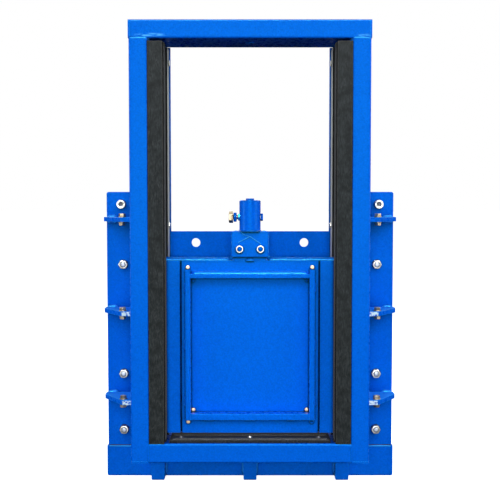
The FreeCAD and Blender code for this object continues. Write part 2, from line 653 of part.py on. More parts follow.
def coupling_lock_bolt():
    """Bolt across the coupling: head and lock nut on the left, a small nut on the right."""
    right = vec(1, 0, 0)
    head_x = -COUPLING_RADIUS - LOCK_HEAD_OUT - LOCK_HEAD_LENGTH
    nut_x = -COUPLING_RADIUS - LOCK_NUT_OUT - LOCK_NUT_LENGTH
    start = vec(head_x, STEM_Y, LOCK_BOLT_Z)
    length = COUPLING_RADIUS + LOCK_TIP_LENGTH - head_x
    shank = rod(LOCK_BOLT_RADIUS, length, start, right)
    head = hexagon(LOCK_HEAD_FLATS, LOCK_HEAD_LENGTH, start, right)
    nut = hexagon(LOCK_NUT_FLATS, LOCK_NUT_LENGTH, vec(nut_x, STEM_Y, LOCK_BOLT_Z), right, LOCK_NUT_TURN)
    tip = hexagon(LOCK_TIP_FLATS, LOCK_TIP_LENGTH, vec(COUPLING_RADIUS, STEM_Y, LOCK_BOLT_Z), right,
                  LOCK_TIP_TURN)
    return shank.multiFuse([head, nut, tip]).removeSplitter()


# ------------------------------------------------------------------ write one file per node
PAIRS = {
    "post": left_post,
    "wall_flange": left_wall_flange,
    "back_bar": left_back_bar,
    "lugs": left_lugs,
    "lug_bolts": left_lug_bolts,
    "anchor_bolts": left_anchor_bolts,
    "front_guide": left_front_guide,
    "middle_guide": left_middle_guide,
    "rear_guide": left_rear_guide,
    "edge_bar": left_edge_bar,
}

SINGLES = {
    "top_beam": top_beam,
    "bottom_beam": bottom_beam,
    "end_caps": end_caps,
    "sill_plate": sill_plate,
    "head_plate": head_plate,
    "foot_ribs": foot_ribs,
    "sill_seal": sill_seal,
    "sill_seal_screws": sill_seal_screws,
    "head_seal": head_seal,
    "leaf_plate": leaf_plate,
    "leaf_face_frame": leaf_face_frame,
    "seam_strips": seam_strips,
    "side_ribs": side_ribs,
    "cross_ribs": cross_ribs,
    "leaf_studs": leaf_studs,
    "hoist_lug": hoist_lug,
    "hoist_bracket": hoist_bracket,
    "hoist_bolts": hoist_bolts,
    "stem_coupling": stem_coupling,
    "coupling_lock_bolt": coupling_lock_bolt,
}


def as_list(made):
    return made if isinstance(made, list) else [made]


def main():
    os.makedirs("parts", exist_ok=True)
    for name, make in PAIRS.items():
        left = as_list(make())
        export("left_" + name, *left)
        export("right_" + name, *[right_of(shape) for shape in left])
    for name, make in SINGLES.items():
        export(name, *as_list(make()))
    screws = left_guide_screws()
    export("guide_screws", *(screws + [right_of(shape) for shape in screws]))


main()
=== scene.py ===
# %% [markdown]
# # A wall-mounted sluice gate
#
# A sluice gate is a steel leaf that slides up and down in a frame bolted over a hole in a wall.
# The solid model of this one was made first and packed as a fixed frame. This lesson adds the
# looks: enamel, sawn plastic, steel fasteners and the welds between the plates.
#
# Nothing here moves or reshapes the solid model. Every size is in metres, the front of the gate
# looks along -Y, the wall is the plane y = 0, and z = 0 is the underside of the bottom beam.

# %% Load the frame
import json
import math
import random

import bmesh
import bpy
from mathutils import Matrix, Vector


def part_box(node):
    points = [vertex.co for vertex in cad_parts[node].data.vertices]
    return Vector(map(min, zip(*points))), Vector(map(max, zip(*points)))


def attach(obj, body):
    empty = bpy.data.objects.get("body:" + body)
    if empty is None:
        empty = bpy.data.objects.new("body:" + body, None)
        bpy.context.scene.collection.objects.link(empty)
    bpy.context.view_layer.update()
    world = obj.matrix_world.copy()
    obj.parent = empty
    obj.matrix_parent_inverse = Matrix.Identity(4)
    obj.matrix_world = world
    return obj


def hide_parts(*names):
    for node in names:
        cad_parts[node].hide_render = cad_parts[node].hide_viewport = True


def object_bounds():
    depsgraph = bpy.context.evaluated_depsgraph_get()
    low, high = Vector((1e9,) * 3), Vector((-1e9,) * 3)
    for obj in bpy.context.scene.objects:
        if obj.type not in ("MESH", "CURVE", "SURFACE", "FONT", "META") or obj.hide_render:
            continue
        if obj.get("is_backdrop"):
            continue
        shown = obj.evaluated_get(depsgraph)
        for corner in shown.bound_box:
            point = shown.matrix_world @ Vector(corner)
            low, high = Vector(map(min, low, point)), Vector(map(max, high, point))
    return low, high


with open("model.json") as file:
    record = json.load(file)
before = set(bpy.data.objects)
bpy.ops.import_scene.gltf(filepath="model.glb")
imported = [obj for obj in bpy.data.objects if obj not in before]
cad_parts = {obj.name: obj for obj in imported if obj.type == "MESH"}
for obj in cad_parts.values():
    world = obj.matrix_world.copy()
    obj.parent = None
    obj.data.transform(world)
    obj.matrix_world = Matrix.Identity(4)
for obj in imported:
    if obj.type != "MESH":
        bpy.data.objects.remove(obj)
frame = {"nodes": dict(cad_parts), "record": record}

scene = bpy.context.scene
nodes = frame["nodes"]
CAD_LOW, CAD_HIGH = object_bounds()
MM = 0.001
print(len(nodes), "nodes, box", [round(v, 4) for v in CAD_HIGH - CAD_LOW])

# %% [markdown]
# ## Reading places from the frame
#
# A node of the solid model can hold several solids, such as the four anchors of one side. Their
# places could be typed in again, but then a change of the model would leave them behind. Instead
# the mesh is split into its separate solids, and each solid's box is read off.


# %% Boxes of the separate solids
def solids_of(name):
    """(low, high) corners of each separate solid in a node, from the bottom up, then left to right."""
    shape = bmesh.new()
    shape.from_mesh(nodes[name].data)
    bmesh.ops.remove_doubles(shape, verts=shape.verts[:], dist=1e-6)
    waiting = set(shape.verts)
    boxes = []
    while waiting:
        found = [waiting.pop()]
        for corner in found:
            for edge in corner.link_edges:
                other = edge.other_vert(corner)
                if other in waiting:
                    waiting.discard(other)
                    found.append(other)
        low = Vector([min(v.co[k] for v in found) for k in range(3)])
        high = Vector([max(v.co[k] for v in found) for k in range(3)])
        boxes.append((low, high))
    shape.free()
    return sorted(boxes, key=lambda box: (round(box[0].z, 4), box[0].x))


FRONT = CAD_LOW.y
print("frame front at y =", round(FRONT, 4), "| anchors:", len(solids_of("left_anchor_bolts")))

# %% [markdown]
# ## Shader nodes as formulas
#
# A material or a world in Blender is a graph of nodes. Drawn in the editor it is hard to repeat, so
# each helper here adds one node and returns what comes out of it. A chain of nodes can then be
# written like a formula, with numbers or other nodes' outputs as its values.


# %% Node helpers
def node(tree, kind, inputs=None, **settings):
    """Add a node; inputs are numbers, colours, or the output sockets to link from."""
    made = tree.nodes.new(kind)
    for key, value in settings.items():
        setattr(made, key, value)
    for key, value in (inputs or {}).items():
        if isinstance(value, bpy.types.NodeSocket):
            tree.links.new(value, made.inputs[key])
        else:
            made.inputs[key].default_value = value
    return made


def maths(tree, operation, *values, clamp=False):
    """A Math node on numbers or sockets."""
    return node(tree, "ShaderNodeMath", dict(enumerate(values)), operation=operation,
                use_clamp=clamp).outputs[0]


def vector_maths(tree, operation, *values):
    """A Vector Math node; a dot product and a length give a number."""
    made = node(tree, "ShaderNodeVectorMath", dict(enumerate(values)), operation=operation)
    return made.outputs["Value" if operation in ("DOT_PRODUCT", "LENGTH") else "Vector"]


def span(tree, value, low, high, to_low=0.0, to_high=1.0):
    """Stretch what lies between low and high to a new range."""
    return node(tree, "ShaderNodeMapRange", {"Value": value, "From Min": low, "From Max": high,
                                             "To Min": to_low, "To Max": to_high}).outputs[0]


def noise(tree, vector, scale, detail, roughness=0.5):
    """The height of a noise texture."""
    return node(tree, "ShaderNodeTexNoise", {"Vector": vector, "Scale": scale, "Detail": detail,
                                             "Roughness": roughness}).outputs[0]


def object_place(tree):
    """Where a shaded point is, in metres."""
    return node(tree, "ShaderNodeTexCoord").outputs["Object"]


# %% [markdown]
# ## The studio
#
# The gate stands on a pale floor in front of white paper. Two things need care. First, the colour
# management: the film-like default turns a strong blue greyish, so the plain sRGB view is used.
# Second, the white surroundings: if they lit the gate from below, the undersides would glow. So
# the floor is hidden from the rays that carry bounced light, and the world is bright only behind
# and above the gate, where the paper hangs. The camera itself always sees white.

# %% White paper as the world
MIRRORED_GLOW = 1.5            # of the paper as gloss and metal reflect it
PAPER_GLOW = 0.18              # of the paper behind the gate
ROOM_GLOW = 0.04               # of the dim room in front
FLOOR_GLOW = 0.003             # share of the paper's glow that comes from below
WHITE = (1, 1, 1, 1)

scene.view_settings.view_transform = "Standard"
scene.view_settings.look = "None"
world = bpy.data.worlds.new("white_paper_room")
scene.world = world
world.use_nodes = True
sky = world.node_tree
sky.nodes.clear()
way = node(sky, "ShaderNodeTexCoord").outputs["Generated"]
axes = node(sky, "ShaderNodeSeparateXYZ", {"Vector": way}).outputs
paper = maths(sky, "MULTIPLY", span(sky, axes["Y"], -0.6, 0.1), span(sky, axes["Z"], 0.03, 0.3))
room = span(sky, axes["Z"], 0.0, 0.6, FLOOR_GLOW, ROOM_GLOW / PAPER_GLOW)
glow = maths(sky, "MAXIMUM", paper, room)
rays = node(sky, "ShaderNodeLightPath").outputs
level = span(sky, rays["Is Glossy Ray"], 0.0, 1.0, PAPER_GLOW, MIRRORED_GLOW)
lit = node(sky, "ShaderNodeBackground", {"Color": WHITE, "Strength": maths(sky, "MULTIPLY", glow, level)})
seen = node(sky, "ShaderNodeBackground", {"Color": WHITE, "Strength": 1.0})
choice = node(sky, "ShaderNodeMixShader", {0: rays["Is Camera Ray"], 1: lit.outputs[0], 2: seen.outputs[0]})
node(sky, "ShaderNodeOutputWorld", {"Surface": choice.outputs[0]})
print("world:", world.name, "with", len(sky.nodes), "nodes")

# %% [markdown]
# ### Floor
#
# The floor lies under the lowest edge of the gate and reaches past the horizon, so that no line
# shows where it ends. It glows a little, as paper does under studio lamps.

# %% Pale floor
FLOOR_REACH = 80.0
FLOOR_GREY = 0.95
FLOOR_EMISSION = 0.97

floor_mesh = bpy.data.meshes.new("floor")
corners = [(x * FLOOR_REACH, y * FLOOR_REACH, CAD_LOW.z) for x, y in ((-1, -1), (1, -1), (1, 1), (-1, 1))]
floor_mesh.from_pydata(corners, [], [(0, 1, 2, 3)])
floor = bpy.data.objects.new("floor", floor_mesh)
scene.collection.objects.link(floor)
floor.visible_diffuse = False
floor.visible_glossy = False
pale = bpy.data.materials.new("pale_floor")
pale.use_nodes = True
surface = pale.node_tree.nodes["Principled BSDF"].inputs
surface["Base Color"].default_value = (FLOOR_GREY, FLOOR_GREY, FLOOR_GREY, 1)
surface["Roughness"].default_value = 0.9
surface["Specular IOR Level"].default_value = 0.0
surface["Emission Color"].default_value = WHITE
surface["Emission Strength"].default_value = FLOOR_EMISSION
floor_mesh.materials.append(pale)
floor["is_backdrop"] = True
print("floor at z =", round(CAD_LOW.z, 4))

# %% [markdown]
# ### Lights
#
# Two key lights from above, a fill from the front and one lamp at each side light the paint evenly,
# as in a catalogue, and two lamps behind light the back. The cards and the strip add gloss only:
# they show as sheen on the paint, as glints on the fasteners and as bright lines on rounded edges.


# %% Softboxes
def softbox(name, place, target, width, height, power, glossy=True, diffuse=True):
    """A rectangular area light that looks at a point, seen by glossy rays, diffuse rays or both."""
    light = bpy.data.lights.new(name, "AREA")
    light.shape = "RECTANGLE"
    light.size = width
    light.size_y = height
    light.energy = power
    made = bpy.data.objects.new(name, light)
    made.location = place
    made.rotation_euler = (Vector(target) - Vector(place)).to_track_quat("-Z", "Y").to_euler()
    made.visible_glossy = glossy
    made.visible_diffuse = diffuse
    made.visible_camera = False
    scene.collection.objects.link(made)


MIDDLE = Vector((0, FRONT, (CAD_LOW.z + CAD_HIGH.z) / 2))
softbox("key_left", (-1.9, -2.4, 2.4), MIDDLE, 1.3, 1.0, 16)
softbox("key_right", (1.9, -2.4, 2.4), MIDDLE, 1.3, 1.0, 25)
softbox("front_fill", (0, -5.0, 0.9), MIDDLE, 2.6, 1.8, 115)
softbox("side_left", (-3.0, -1.0, 0.9), MIDDLE, 1.4, 1.8, 54)
softbox("side_right", (3.0, -1.0, 0.9), MIDDLE, 1.4, 1.8, 54)
softbox("high_card", (0, -5.0, 2.25), MIDDLE, 3.4, 0.9, 55, diffuse=False)
softbox("low_card", (0, -5.0, -1.0), MIDDLE, 3.4, 1.6, 80, diffuse=False)
softbox("top_strip", (0, -1.9, 3.0), MIDDLE, 3.0, 0.7, 520, diffuse=False)
softbox("back_left", (-1.8, 2.4, 2.0), MIDDLE, 1.2, 1.2, 25)
softbox("back_right", (1.8, 2.4, 2.0), MIDDLE, 1.2, 1.2, 25)
print("lights:", [light.name for light in bpy.data.lights])

# %% [markdown]
# ### Camera
#
# The camera stands a little above the middle of the gate, straight in front of it and tilted down
# by a few degrees. A long lens from two metres keeps the posts nearly parallel.

# %% Camera
CAMERA_DISTANCE = 1.915        # from the front of the frame
CAMERA_HEIGHT = 0.564          # above the underside of the bottom beam
CAMERA_TILT = 2.90             # degrees below level
LENS = 63.96                   # mm, on a 36 mm sensor

camera_data = bpy.data.cameras.new("camera")
camera_data.lens = LENS
camera_data.sensor_width = 36.0
camera = bpy.data.objects.new("camera", camera_data)
camera.location = (0, FRONT - CAMERA_DISTANCE, CAMERA_HEIGHT)
camera.rotation_euler = (math.radians(90 - CAMERA_TILT), 0, 0)
scene.collection.objects.link(camera)
scene.camera = camera
print("camera", tuple(round(v, 3) for v in camera.location))

# %% [markdown]
# ## Effects that several finishes share
#
# Paint, plastic, rubber and steel look different, but the same few things happen to all of them:
# edges are never knife sharp, the surface has a fine grain, and handling leaves scuffs. Some masks
# also say where a finish paints light or shade: a painted highlight along edges and painted shade
# where two pieces meet. Each effect is a node group made once, with its sizes as inputs. Only
# masks, heights and normals leave a group, so each finish decides what to do with them.


# %% Group helper
FLOAT = "NodeSocketFloat"
VECTOR = "NodeSocketVector"


def new_group(name, inputs, outputs):
    """A shader node group with float inputs {name: default} and outputs {name: socket type}."""
    tree = bpy.data.node_groups.new(name, "ShaderNodeTree")
    for label, value in inputs.items():
        tree.interface.new_socket(label, in_out="INPUT", socket_type=FLOAT).default_value = value
    for label, kind in outputs.items():
        tree.interface.new_socket(label, in_out="OUTPUT", socket_type=kind)
    print("effect", name, "takes", list(inputs), "and gives", list(outputs))
    return tree, tree.nodes.new("NodeGroupInput").outputs, tree.nodes.new("NodeGroupOutput").inputs


# %% [markdown]
# ### Soft edges
#
# A sawn or sheared edge is a small radius that catches the light as a thin line. It could be
# modelled on every plate, but the Bevel node rounds the shading there instead: it looks around
# each point and blends the normals of the faces nearby. Where its answer differs from the plain
# normal there is an edge, and that difference makes a mask where the finishes paint a highlight
# along the edge, and on plastic also its paler sawn edge.

# %% Soft edges
soft_edges, given, out = new_group("soft_edges", {"Radius": 1.0 * MM, "Sharpness": 4.0},
                                   {"Normal": VECTOR, "Edge": FLOAT})
rounded = node(soft_edges, "ShaderNodeBevel", {"Radius": given["Radius"]}, samples=6).outputs[0]
plain = node(soft_edges, "ShaderNodeNewGeometry").outputs["Normal"]
turned = maths(soft_edges, "SUBTRACT", 1.0, vector_maths(soft_edges, "DOT_PRODUCT", rounded, plain))
soft_edges.links.new(rounded, out["Normal"])
soft_edges.links.new(maths(soft_edges, "MULTIPLY", turned, given["Sharpness"], clamp=True), out["Edge"])

# %% [markdown]
# ### Grain
#
# Sprayed paint dries with a faint dimple pattern called orange peel, and sawn plastic is
# mottled. Both are noise at two sizes. The Stretch input pulls the pattern out along z, which
# turns mottling into saw marks.

# %% Grain
COARSE_SHARE = 0.06            # how much wider the tone is spaced than the height
grain, given, out = new_group("grain", {"Scale": 100.0, "Detail": 3.0, "Stretch": 1.0},
                              {"Height": FLOAT, "Tone": FLOAT})
squeeze = node(grain, "ShaderNodeCombineXYZ", {"X": 1.0, "Y": 1.0, "Z": given["Stretch"]}).outputs[0]
pulled = vector_maths(grain, "MULTIPLY", object_place(grain), squeeze)
coarse = maths(grain, "MULTIPLY", given["Scale"], COARSE_SHARE)
grain.links.new(noise(grain, pulled, given["Scale"], given["Detail"], 0.55), out["Height"])
grain.links.new(noise(grain, pulled, coarse, 2.0), out["Tone"])

# %% [markdown]
# ### Corner shade
#
# The finishes paint shade into corners and creases and under ledges, where little light falls. The
# Ambient Occlusion node measures how closed in a point is, within a short reach, and noise breaks
# up the rim of the mask so that it doesn't look like a drawn line. With some Lean it looks upwards,
# which finds the shade under ledges.

# %% Corner shade (painted)
corner_shade, given, out = new_group("corner_shade", {"Reach": 8.0 * MM, "Break Up": 0.4, "Bite": 2.0, "Lean": 0.0},
                              {"Mask": FLOAT})
plain = node(corner_shade, "ShaderNodeNewGeometry").outputs["Normal"]
rise = node(corner_shade, "ShaderNodeCombineXYZ", {"Z": given["Lean"]}).outputs[0]
upward = vector_maths(corner_shade, "NORMALIZE", vector_maths(corner_shade, "ADD", plain, rise))
openness = node(corner_shade, "ShaderNodeAmbientOcclusion", {"Distance": given["Reach"], "Normal": upward},
                samples=8)
closed = maths(corner_shade, "SUBTRACT", 1.0, openness.outputs["AO"])
shift = maths(corner_shade, "SUBTRACT", noise(corner_shade, object_place(corner_shade), 120.0, 3.0), 0.5)
broken = maths(corner_shade, "MULTIPLY_ADD", shift, given["Break Up"], closed, clamp=True)
masked = maths(corner_shade, "MULTIPLY", broken, closed)
corner_shade.links.new(maths(corner_shade, "MULTIPLY", masked, given["Bite"], clamp=True), out["Mask"])

# %% [markdown]
# ### Scuffs
#
# Fine scratches are noise that is stretched a great deal, with only its highest crests kept.
# Two layers that run in different directions cross each other.

# %% Scuffs
scuffs, given, out = new_group("scuffs", {"Scale": 40.0, "Amount": 0.3}, {"Mask": FLOAT})
place = object_place(scuffs)
layers = []
for turn, long_way in ((0.35, 9.0), (-0.9, 14.0)):
    turned = node(scuffs, "ShaderNodeVectorRotate", {"Vector": place, "Angle": turn, "Axis": (0, 1, 0)})
    drawn = vector_maths(scuffs, "MULTIPLY", turned.outputs[0], (long_way, 1.0, 1.0))
    layers.append(span(scuffs, noise(scuffs, drawn, given["Scale"], 4.0, 0.7), 0.62, 0.72))
both = maths(scuffs, "MAXIMUM", *layers)
scuffs.links.new(maths(scuffs, "MULTIPLY", both, given["Amount"], clamp=True), out["Mask"])

# %% [markdown]
# ### Highlit fronts, ways and ground marks
#
# Three masks say where a finish changes. The first finds faces that point forwards, below a given
# height, where a painted highlight goes. The second mask tells side, front and level faces apart,
# so that these faces can take painted light and shade. Marks of the grinder are smears at a known
# place: a soft oval, torn by noise.

# %% Highlit fronts, ways and ground marks
FACING = 0.97                  # a face points along an axis if this much of its normal does
front_faces, given, out = new_group("front_faces", {"Below": 1.0}, {"Mask": FLOAT})
facing = node(front_faces, "ShaderNodeTexCoord").outputs["Normal"]
forward = vector_maths(front_faces, "DOT_PRODUCT", facing, (0, -1, 0))
flat = maths(front_faces, "GREATER_THAN", forward, FACING)
place = object_place(front_faces)
kept = span(front_faces, noise(front_faces, place, 260.0, 2.0), 0.36, 0.5)
height = node(front_faces, "ShaderNodeSeparateXYZ", {"Vector": place}).outputs["Z"]
here = maths(front_faces, "MULTIPLY", flat, maths(front_faces, "LESS_THAN", height, given["Below"]))
front_faces.links.new(maths(front_faces, "MULTIPLY", kept, here), out["Mask"])

ways, given, out = new_group("ways", {}, {"Side": FLOAT, "Front": FLOAT, "Level": FLOAT})
facing = node(ways, "ShaderNodeTexCoord").outputs["Normal"]
for label, axis in (("Side", (1, 0, 0)), ("Front", (0, 1, 0)), ("Level", (0, 0, 1))):
    size = maths(ways, "ABSOLUTE", vector_maths(ways, "DOT_PRODUCT", facing, axis))
    ways.links.new(maths(ways, "GREATER_THAN", size, FACING), out[label])

SMEAR_HEIGHT = 4.2 * MM        # half the height of a grinder's mark
smear, given, out = new_group("smear", {"Centre": 0.0, "Height": 0.0, "Reach": 40 * MM}, {"Mask": FLOAT})
place = object_place(smear)
axes = node(smear, "ShaderNodeSeparateXYZ", {"Vector": place}).outputs
share = maths(smear, "DIVIDE", maths(smear, "SUBTRACT", axes["X"], given["Centre"]), given["Reach"])
lifted = maths(smear, "DIVIDE", maths(smear, "SUBTRACT", axes["Z"], given["Height"]), SMEAR_HEIGHT)
far = node(smear, "ShaderNodeCombineXYZ", {"X": share, "Y": lifted}).outputs[0]
soft = span(smear, vector_maths(smear, "LENGTH", far), 1.0, 0.55)
drawn = vector_maths(smear, "MULTIPLY", place, (0.15, 1.0, 1.0))
kept = span(smear, noise(smear, drawn, 420.0, 3.0), 0.40, 0.60)
smear.links.new(maths(smear, "MULTIPLY", kept, soft), out["Mask"])

# %% [markdown]
# ## Putting a finish together
#
# Every finish starts from the one shader that Blender gives a new material. What changes over the
# surface, such as colour and roughness, is linked to it. What is the same everywhere is set on the
# shader's own sockets as a number, because other programs read only those when the model is exported.


# %% Finish helpers
def effect(tree, group, **inputs):
    """Place one of the shared effects in a material and return its outputs."""
    made = tree.nodes.new("ShaderNodeGroup")
    made.node_tree = group
    for label, value in inputs.items():
        made.inputs[label.replace("_", " ")].default_value = value
    return made.outputs


def blend(tree, factor, first, second):
    """Mix two colours; factor, first and second are values or sockets."""
    mixed = node(tree, "ShaderNodeMix", data_type="RGBA")
    for socket, value in zip((mixed.inputs[0], mixed.inputs[6], mixed.inputs[7]), (factor, first, second)):
        if isinstance(value, bpy.types.NodeSocket):
            tree.links.new(value, socket)
        else:
            socket.default_value = value
    return mixed.outputs[2]


def scaled(tree, value, factor, offset=0.0):
    """value * factor + offset for a socket, kept between 0 and 1."""
    return maths(tree, "MULTIPLY_ADD", value, factor, offset, clamp=True)


def new_finish(name):
    """A new material, its node tree and its shader."""
    made = bpy.data.materials.new(name)
    made.use_nodes = True
    print("finish", name)
    return made, made.node_tree, made.node_tree.nodes["Principled BSDF"]


def set_constants(shader, **values):
    """Numbers that are the same all over a surface go straight on the shader's own sockets."""
    for label, value in values.items():
        shader.inputs[label.replace("_", " ")].default_value = value


def connect(tree, shader, colour, roughness, height, normal, depth):
    """Link what changes over the surface; height becomes a bump of the given depth."""
    bump = node(tree, "ShaderNodeBump", {"Height": height, "Normal": normal, "Distance": depth,
                                         "Strength": 1.0})
    tree.links.new(colour, shader.inputs["Base Color"])
    tree.links.new(roughness, shader.inputs["Roughness"])
    tree.links.new(bump.outputs[0], shader.inputs["Normal"])


# %% [markdown]
# ## Gloss blue enamel
#
# The frame and leaf are sprayed with a strong blue gloss paint. Its colour is nearly pure, so the
# red part is almost zero, and the specular tint keeps the sheen bluish as thick enamel does. The
# orange peel is a bump of a third of a millimetre. A painted highlight makes the edges lighter, and
# painted shade darkens corners and the faces under ledges: a sharp line in the crease and a soft one
# below. The same paint is a little lighter on the leaf, darker as painted shade on the side plates,
# glossier and painted lighter as a highlight on weld beads, and given painted highlights on the
# fronts and level faces of the lugs, so one function makes them all, and each finish says only
# where it differs.


# %% Enamel
DEEP_BLUE, LIGHT_BLUE = (0.104, 0.70), (0.132, 0.83)      # green and blue of the coat
RED = 0.0004
PALE_BLUE = (0.07, 0.50, 1.0, 1)
FRONT_HIGHLIGHT_WHITE = (0.78, 0.98, 1.0, 1)
LEVEL_HIGHLIGHT_BLUE = (0.02, 0.30, 1.0, 1)
GROUND_BLUE = (0.10, 0.50, 1.0, 1)
EDGE_HIGHLIGHT_BLUE = (0.012, 0.33, 1.0, 1)
LEDGE_SHADE = (0.0, 0.020, 0.17, 1)
CREASE_SHADE = (0.0, 0.004, 0.03, 1)
HIGHLIGHT_BELOW = 440 * MM        # only the lower lugs get the painted front highlight


def enamel(name, peel=0.30 * MM, roughness=0.28, edge_highlight=0.7, depth=0.95, shade=0.62, gloss=0.25,
           tint=(0.02, 0.5, 0.85, 1), pale=0.0, fronts=0.0, levels=0.0, ground=None, line=0.9,
           crease_reach=3.2 * MM, ledge_reach=22 * MM, bite=5.0, lean=0.0):
    """Blue paint; the words say how deep and pale it is, and where highlights and shade are painted on."""
    made, tree, shader = new_finish(name)
    peel_out = effect(tree, grain, Scale=260.0, Detail=2.0)
    cloud = effect(tree, grain, Scale=120.0, Detail=3.0)
    edges = effect(tree, soft_edges, Radius=1.6 * MM, Sharpness=7.0)
    shade_mask = effect(tree, corner_shade, Reach=ledge_reach, Break_Up=0.3, Lean=0.7, Bite=1.5)
    crease = effect(tree, corner_shade, Reach=crease_reach, Break_Up=0.3, Bite=bite, Lean=lean)
    rough = scaled(tree, cloud["Height"], 0.12, roughness - 0.06)
    deep, light = [(RED, g * depth, b * depth, 1) for g, b in (DEEP_BLUE, LIGHT_BLUE)]
    body = blend(tree, scaled(tree, peel_out["Height"], 3.0, -1.0), deep, light)
    if pale:
        body = blend(tree, pale, body, PALE_BLUE)
    # Painted highlight: forward faces of the lower lugs turn nearly white.
    if fronts:
        wear_and_highlight = effect(tree, front_faces, Below=HIGHLIGHT_BELOW)
        body = blend(tree, scaled(tree, wear_and_highlight["Mask"], fronts), body, FRONT_HIGHLIGHT_WHITE)
    # Painted highlight: level faces turn a light blue, and their gloss is dulled.
    if levels:
        flat = effect(tree, ways)
        body = blend(tree, scaled(tree, flat["Level"], levels), body, LEVEL_HIGHLIGHT_BLUE)
        rough = maths(tree, "ADD", rough, flat["Level"], clamp=True)
    for x, (z, reach) in (ground or {}).items():
        marks = effect(tree, smear, Centre=x, Height=z, Reach=reach)
        body = blend(tree, scaled(tree, marks["Mask"], 0.8), body, GROUND_BLUE)
    # Painted highlight: edges lighten towards a pale blue.
    highlighted = blend(tree, scaled(tree, edges["Edge"], edge_highlight), body, EDGE_HIGHLIGHT_BLUE)
    # Painted shade: a soft one under ledges, then a sharp line in creases.
    shaded = blend(tree, scaled(tree, shade_mask["Mask"], shade), highlighted, LEDGE_SHADE)
    colour = blend(tree, scaled(tree, crease["Mask"], line), shaded, CREASE_SHADE)
    connect(tree, shader, colour, rough, peel_out["Height"], edges["Normal"], peel)
    set_constants(shader, Specular_IOR_Level=gloss, Specular_Tint=tint)
    return made


# %% Blue finishes
blue_enamel = enamel("gloss_blue_enamel")
smooth_enamel = enamel("enamel_over_ground_weld", edge_highlight=0.0)
pale_enamel = enamel("enamel_rubbed_pale", edge_highlight=0.0, pale=0.75, shade=0.0, line=0.0)
# The lugs carry painted highlights on their fronts, level faces and edges.
lug_enamel = enamel("enamel_with_painted_highlights", fronts=0.95, levels=0.8, gloss=0.2, shade=0.2, line=0.4,
                    edge_highlight=1.0)
head_enamel = enamel("enamel_of_the_head_plate", depth=1.12, gloss=0.1)
# A darker copy of the paint, with wide, strong shade near the posts and under the lugs: painted shade.
flange_enamel = enamel("side_plate_enamel", depth=0.92, shade=0.75, line=0.6, crease_reach=45 * MM,
                       ledge_reach=60 * MM, bite=1.3)
# A little lighter copy of the paint, with strong painted shade under the ribs.
leaf_enamel = enamel("lighter_leaf_enamel", depth=1.11, shade=0.95, crease_reach=5.5 * MM,
                     ledge_reach=30 * MM, bite=8.0, lean=0.8)
# The ribs get a strong painted highlight on their edges; the edge bars get painted shade beside the guides.
rib_enamel = enamel("rib_enamel", depth=1.11, edge_highlight=1.0, shade=0.1, line=0.0)
bar_enamel = enamel("edge_bar_enamel", depth=1.11, shade=0.5, crease_reach=9.5 * MM)
# On weld beads the paint is lighter and paler: a painted highlight, besides the higher gloss.
weld_enamel = enamel("enamel_over_weld", peel=0.04 * MM, roughness=0.20, edge_highlight=0.3, depth=1.1,
                     shade=0.35, gloss=0.5, tint=(0.04, 0.85, 1.0, 1), line=0.4, pale=0.35)
leaf_weld_enamel = enamel("leaf_enamel_over_weld", peel=0.04 * MM, roughness=0.30, edge_highlight=0.3,
                          depth=1.25, shade=0.35, gloss=0.6, tint=(0.04, 0.7, 1.0, 1), line=0.7)
beam_low, beam_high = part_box("top_beam")
GROUND_MARKS = {beam_low.x + 44 * MM: (beam_low.z + 7 * MM, 46 * MM),      # x: (z, half length)
                beam_high.x - 14 * MM: (beam_low.z + 6 * MM, 18 * MM)}
beam_enamel = enamel("beam_enamel_over_ground_marks", ground=GROUND_MARKS)

# %% [markdown]
# ## Sawn black plastic and rubber
#
# The guides are bars of black polyethylene, sawn from sheet. It isn't truly black: saw marks and
# dust make it a mottled dark grey, and its sawn edges are a lighter brownish grey, lightened more
# as a painted highlight. A dull, rough shader with stretched grain for the saw marks shows that.
# Corners are darkened as painted shade. The rear guides face the water; their sides are a pale
# grey, and their fronts, deep in the slot, are painted black as shade. The front guides' inner
# sides are painted black as shade too, and the middle guides' sides and edges are painted lighter
# as lit faces. Rubber and sealant are the same recipe in other colours.


# %% Sawn plastic
SCUFF_GREY = (0.11, 0.115, 0.12, 1)
CORNER_BLACK = (0.0015, 0.0015, 0.002, 1)


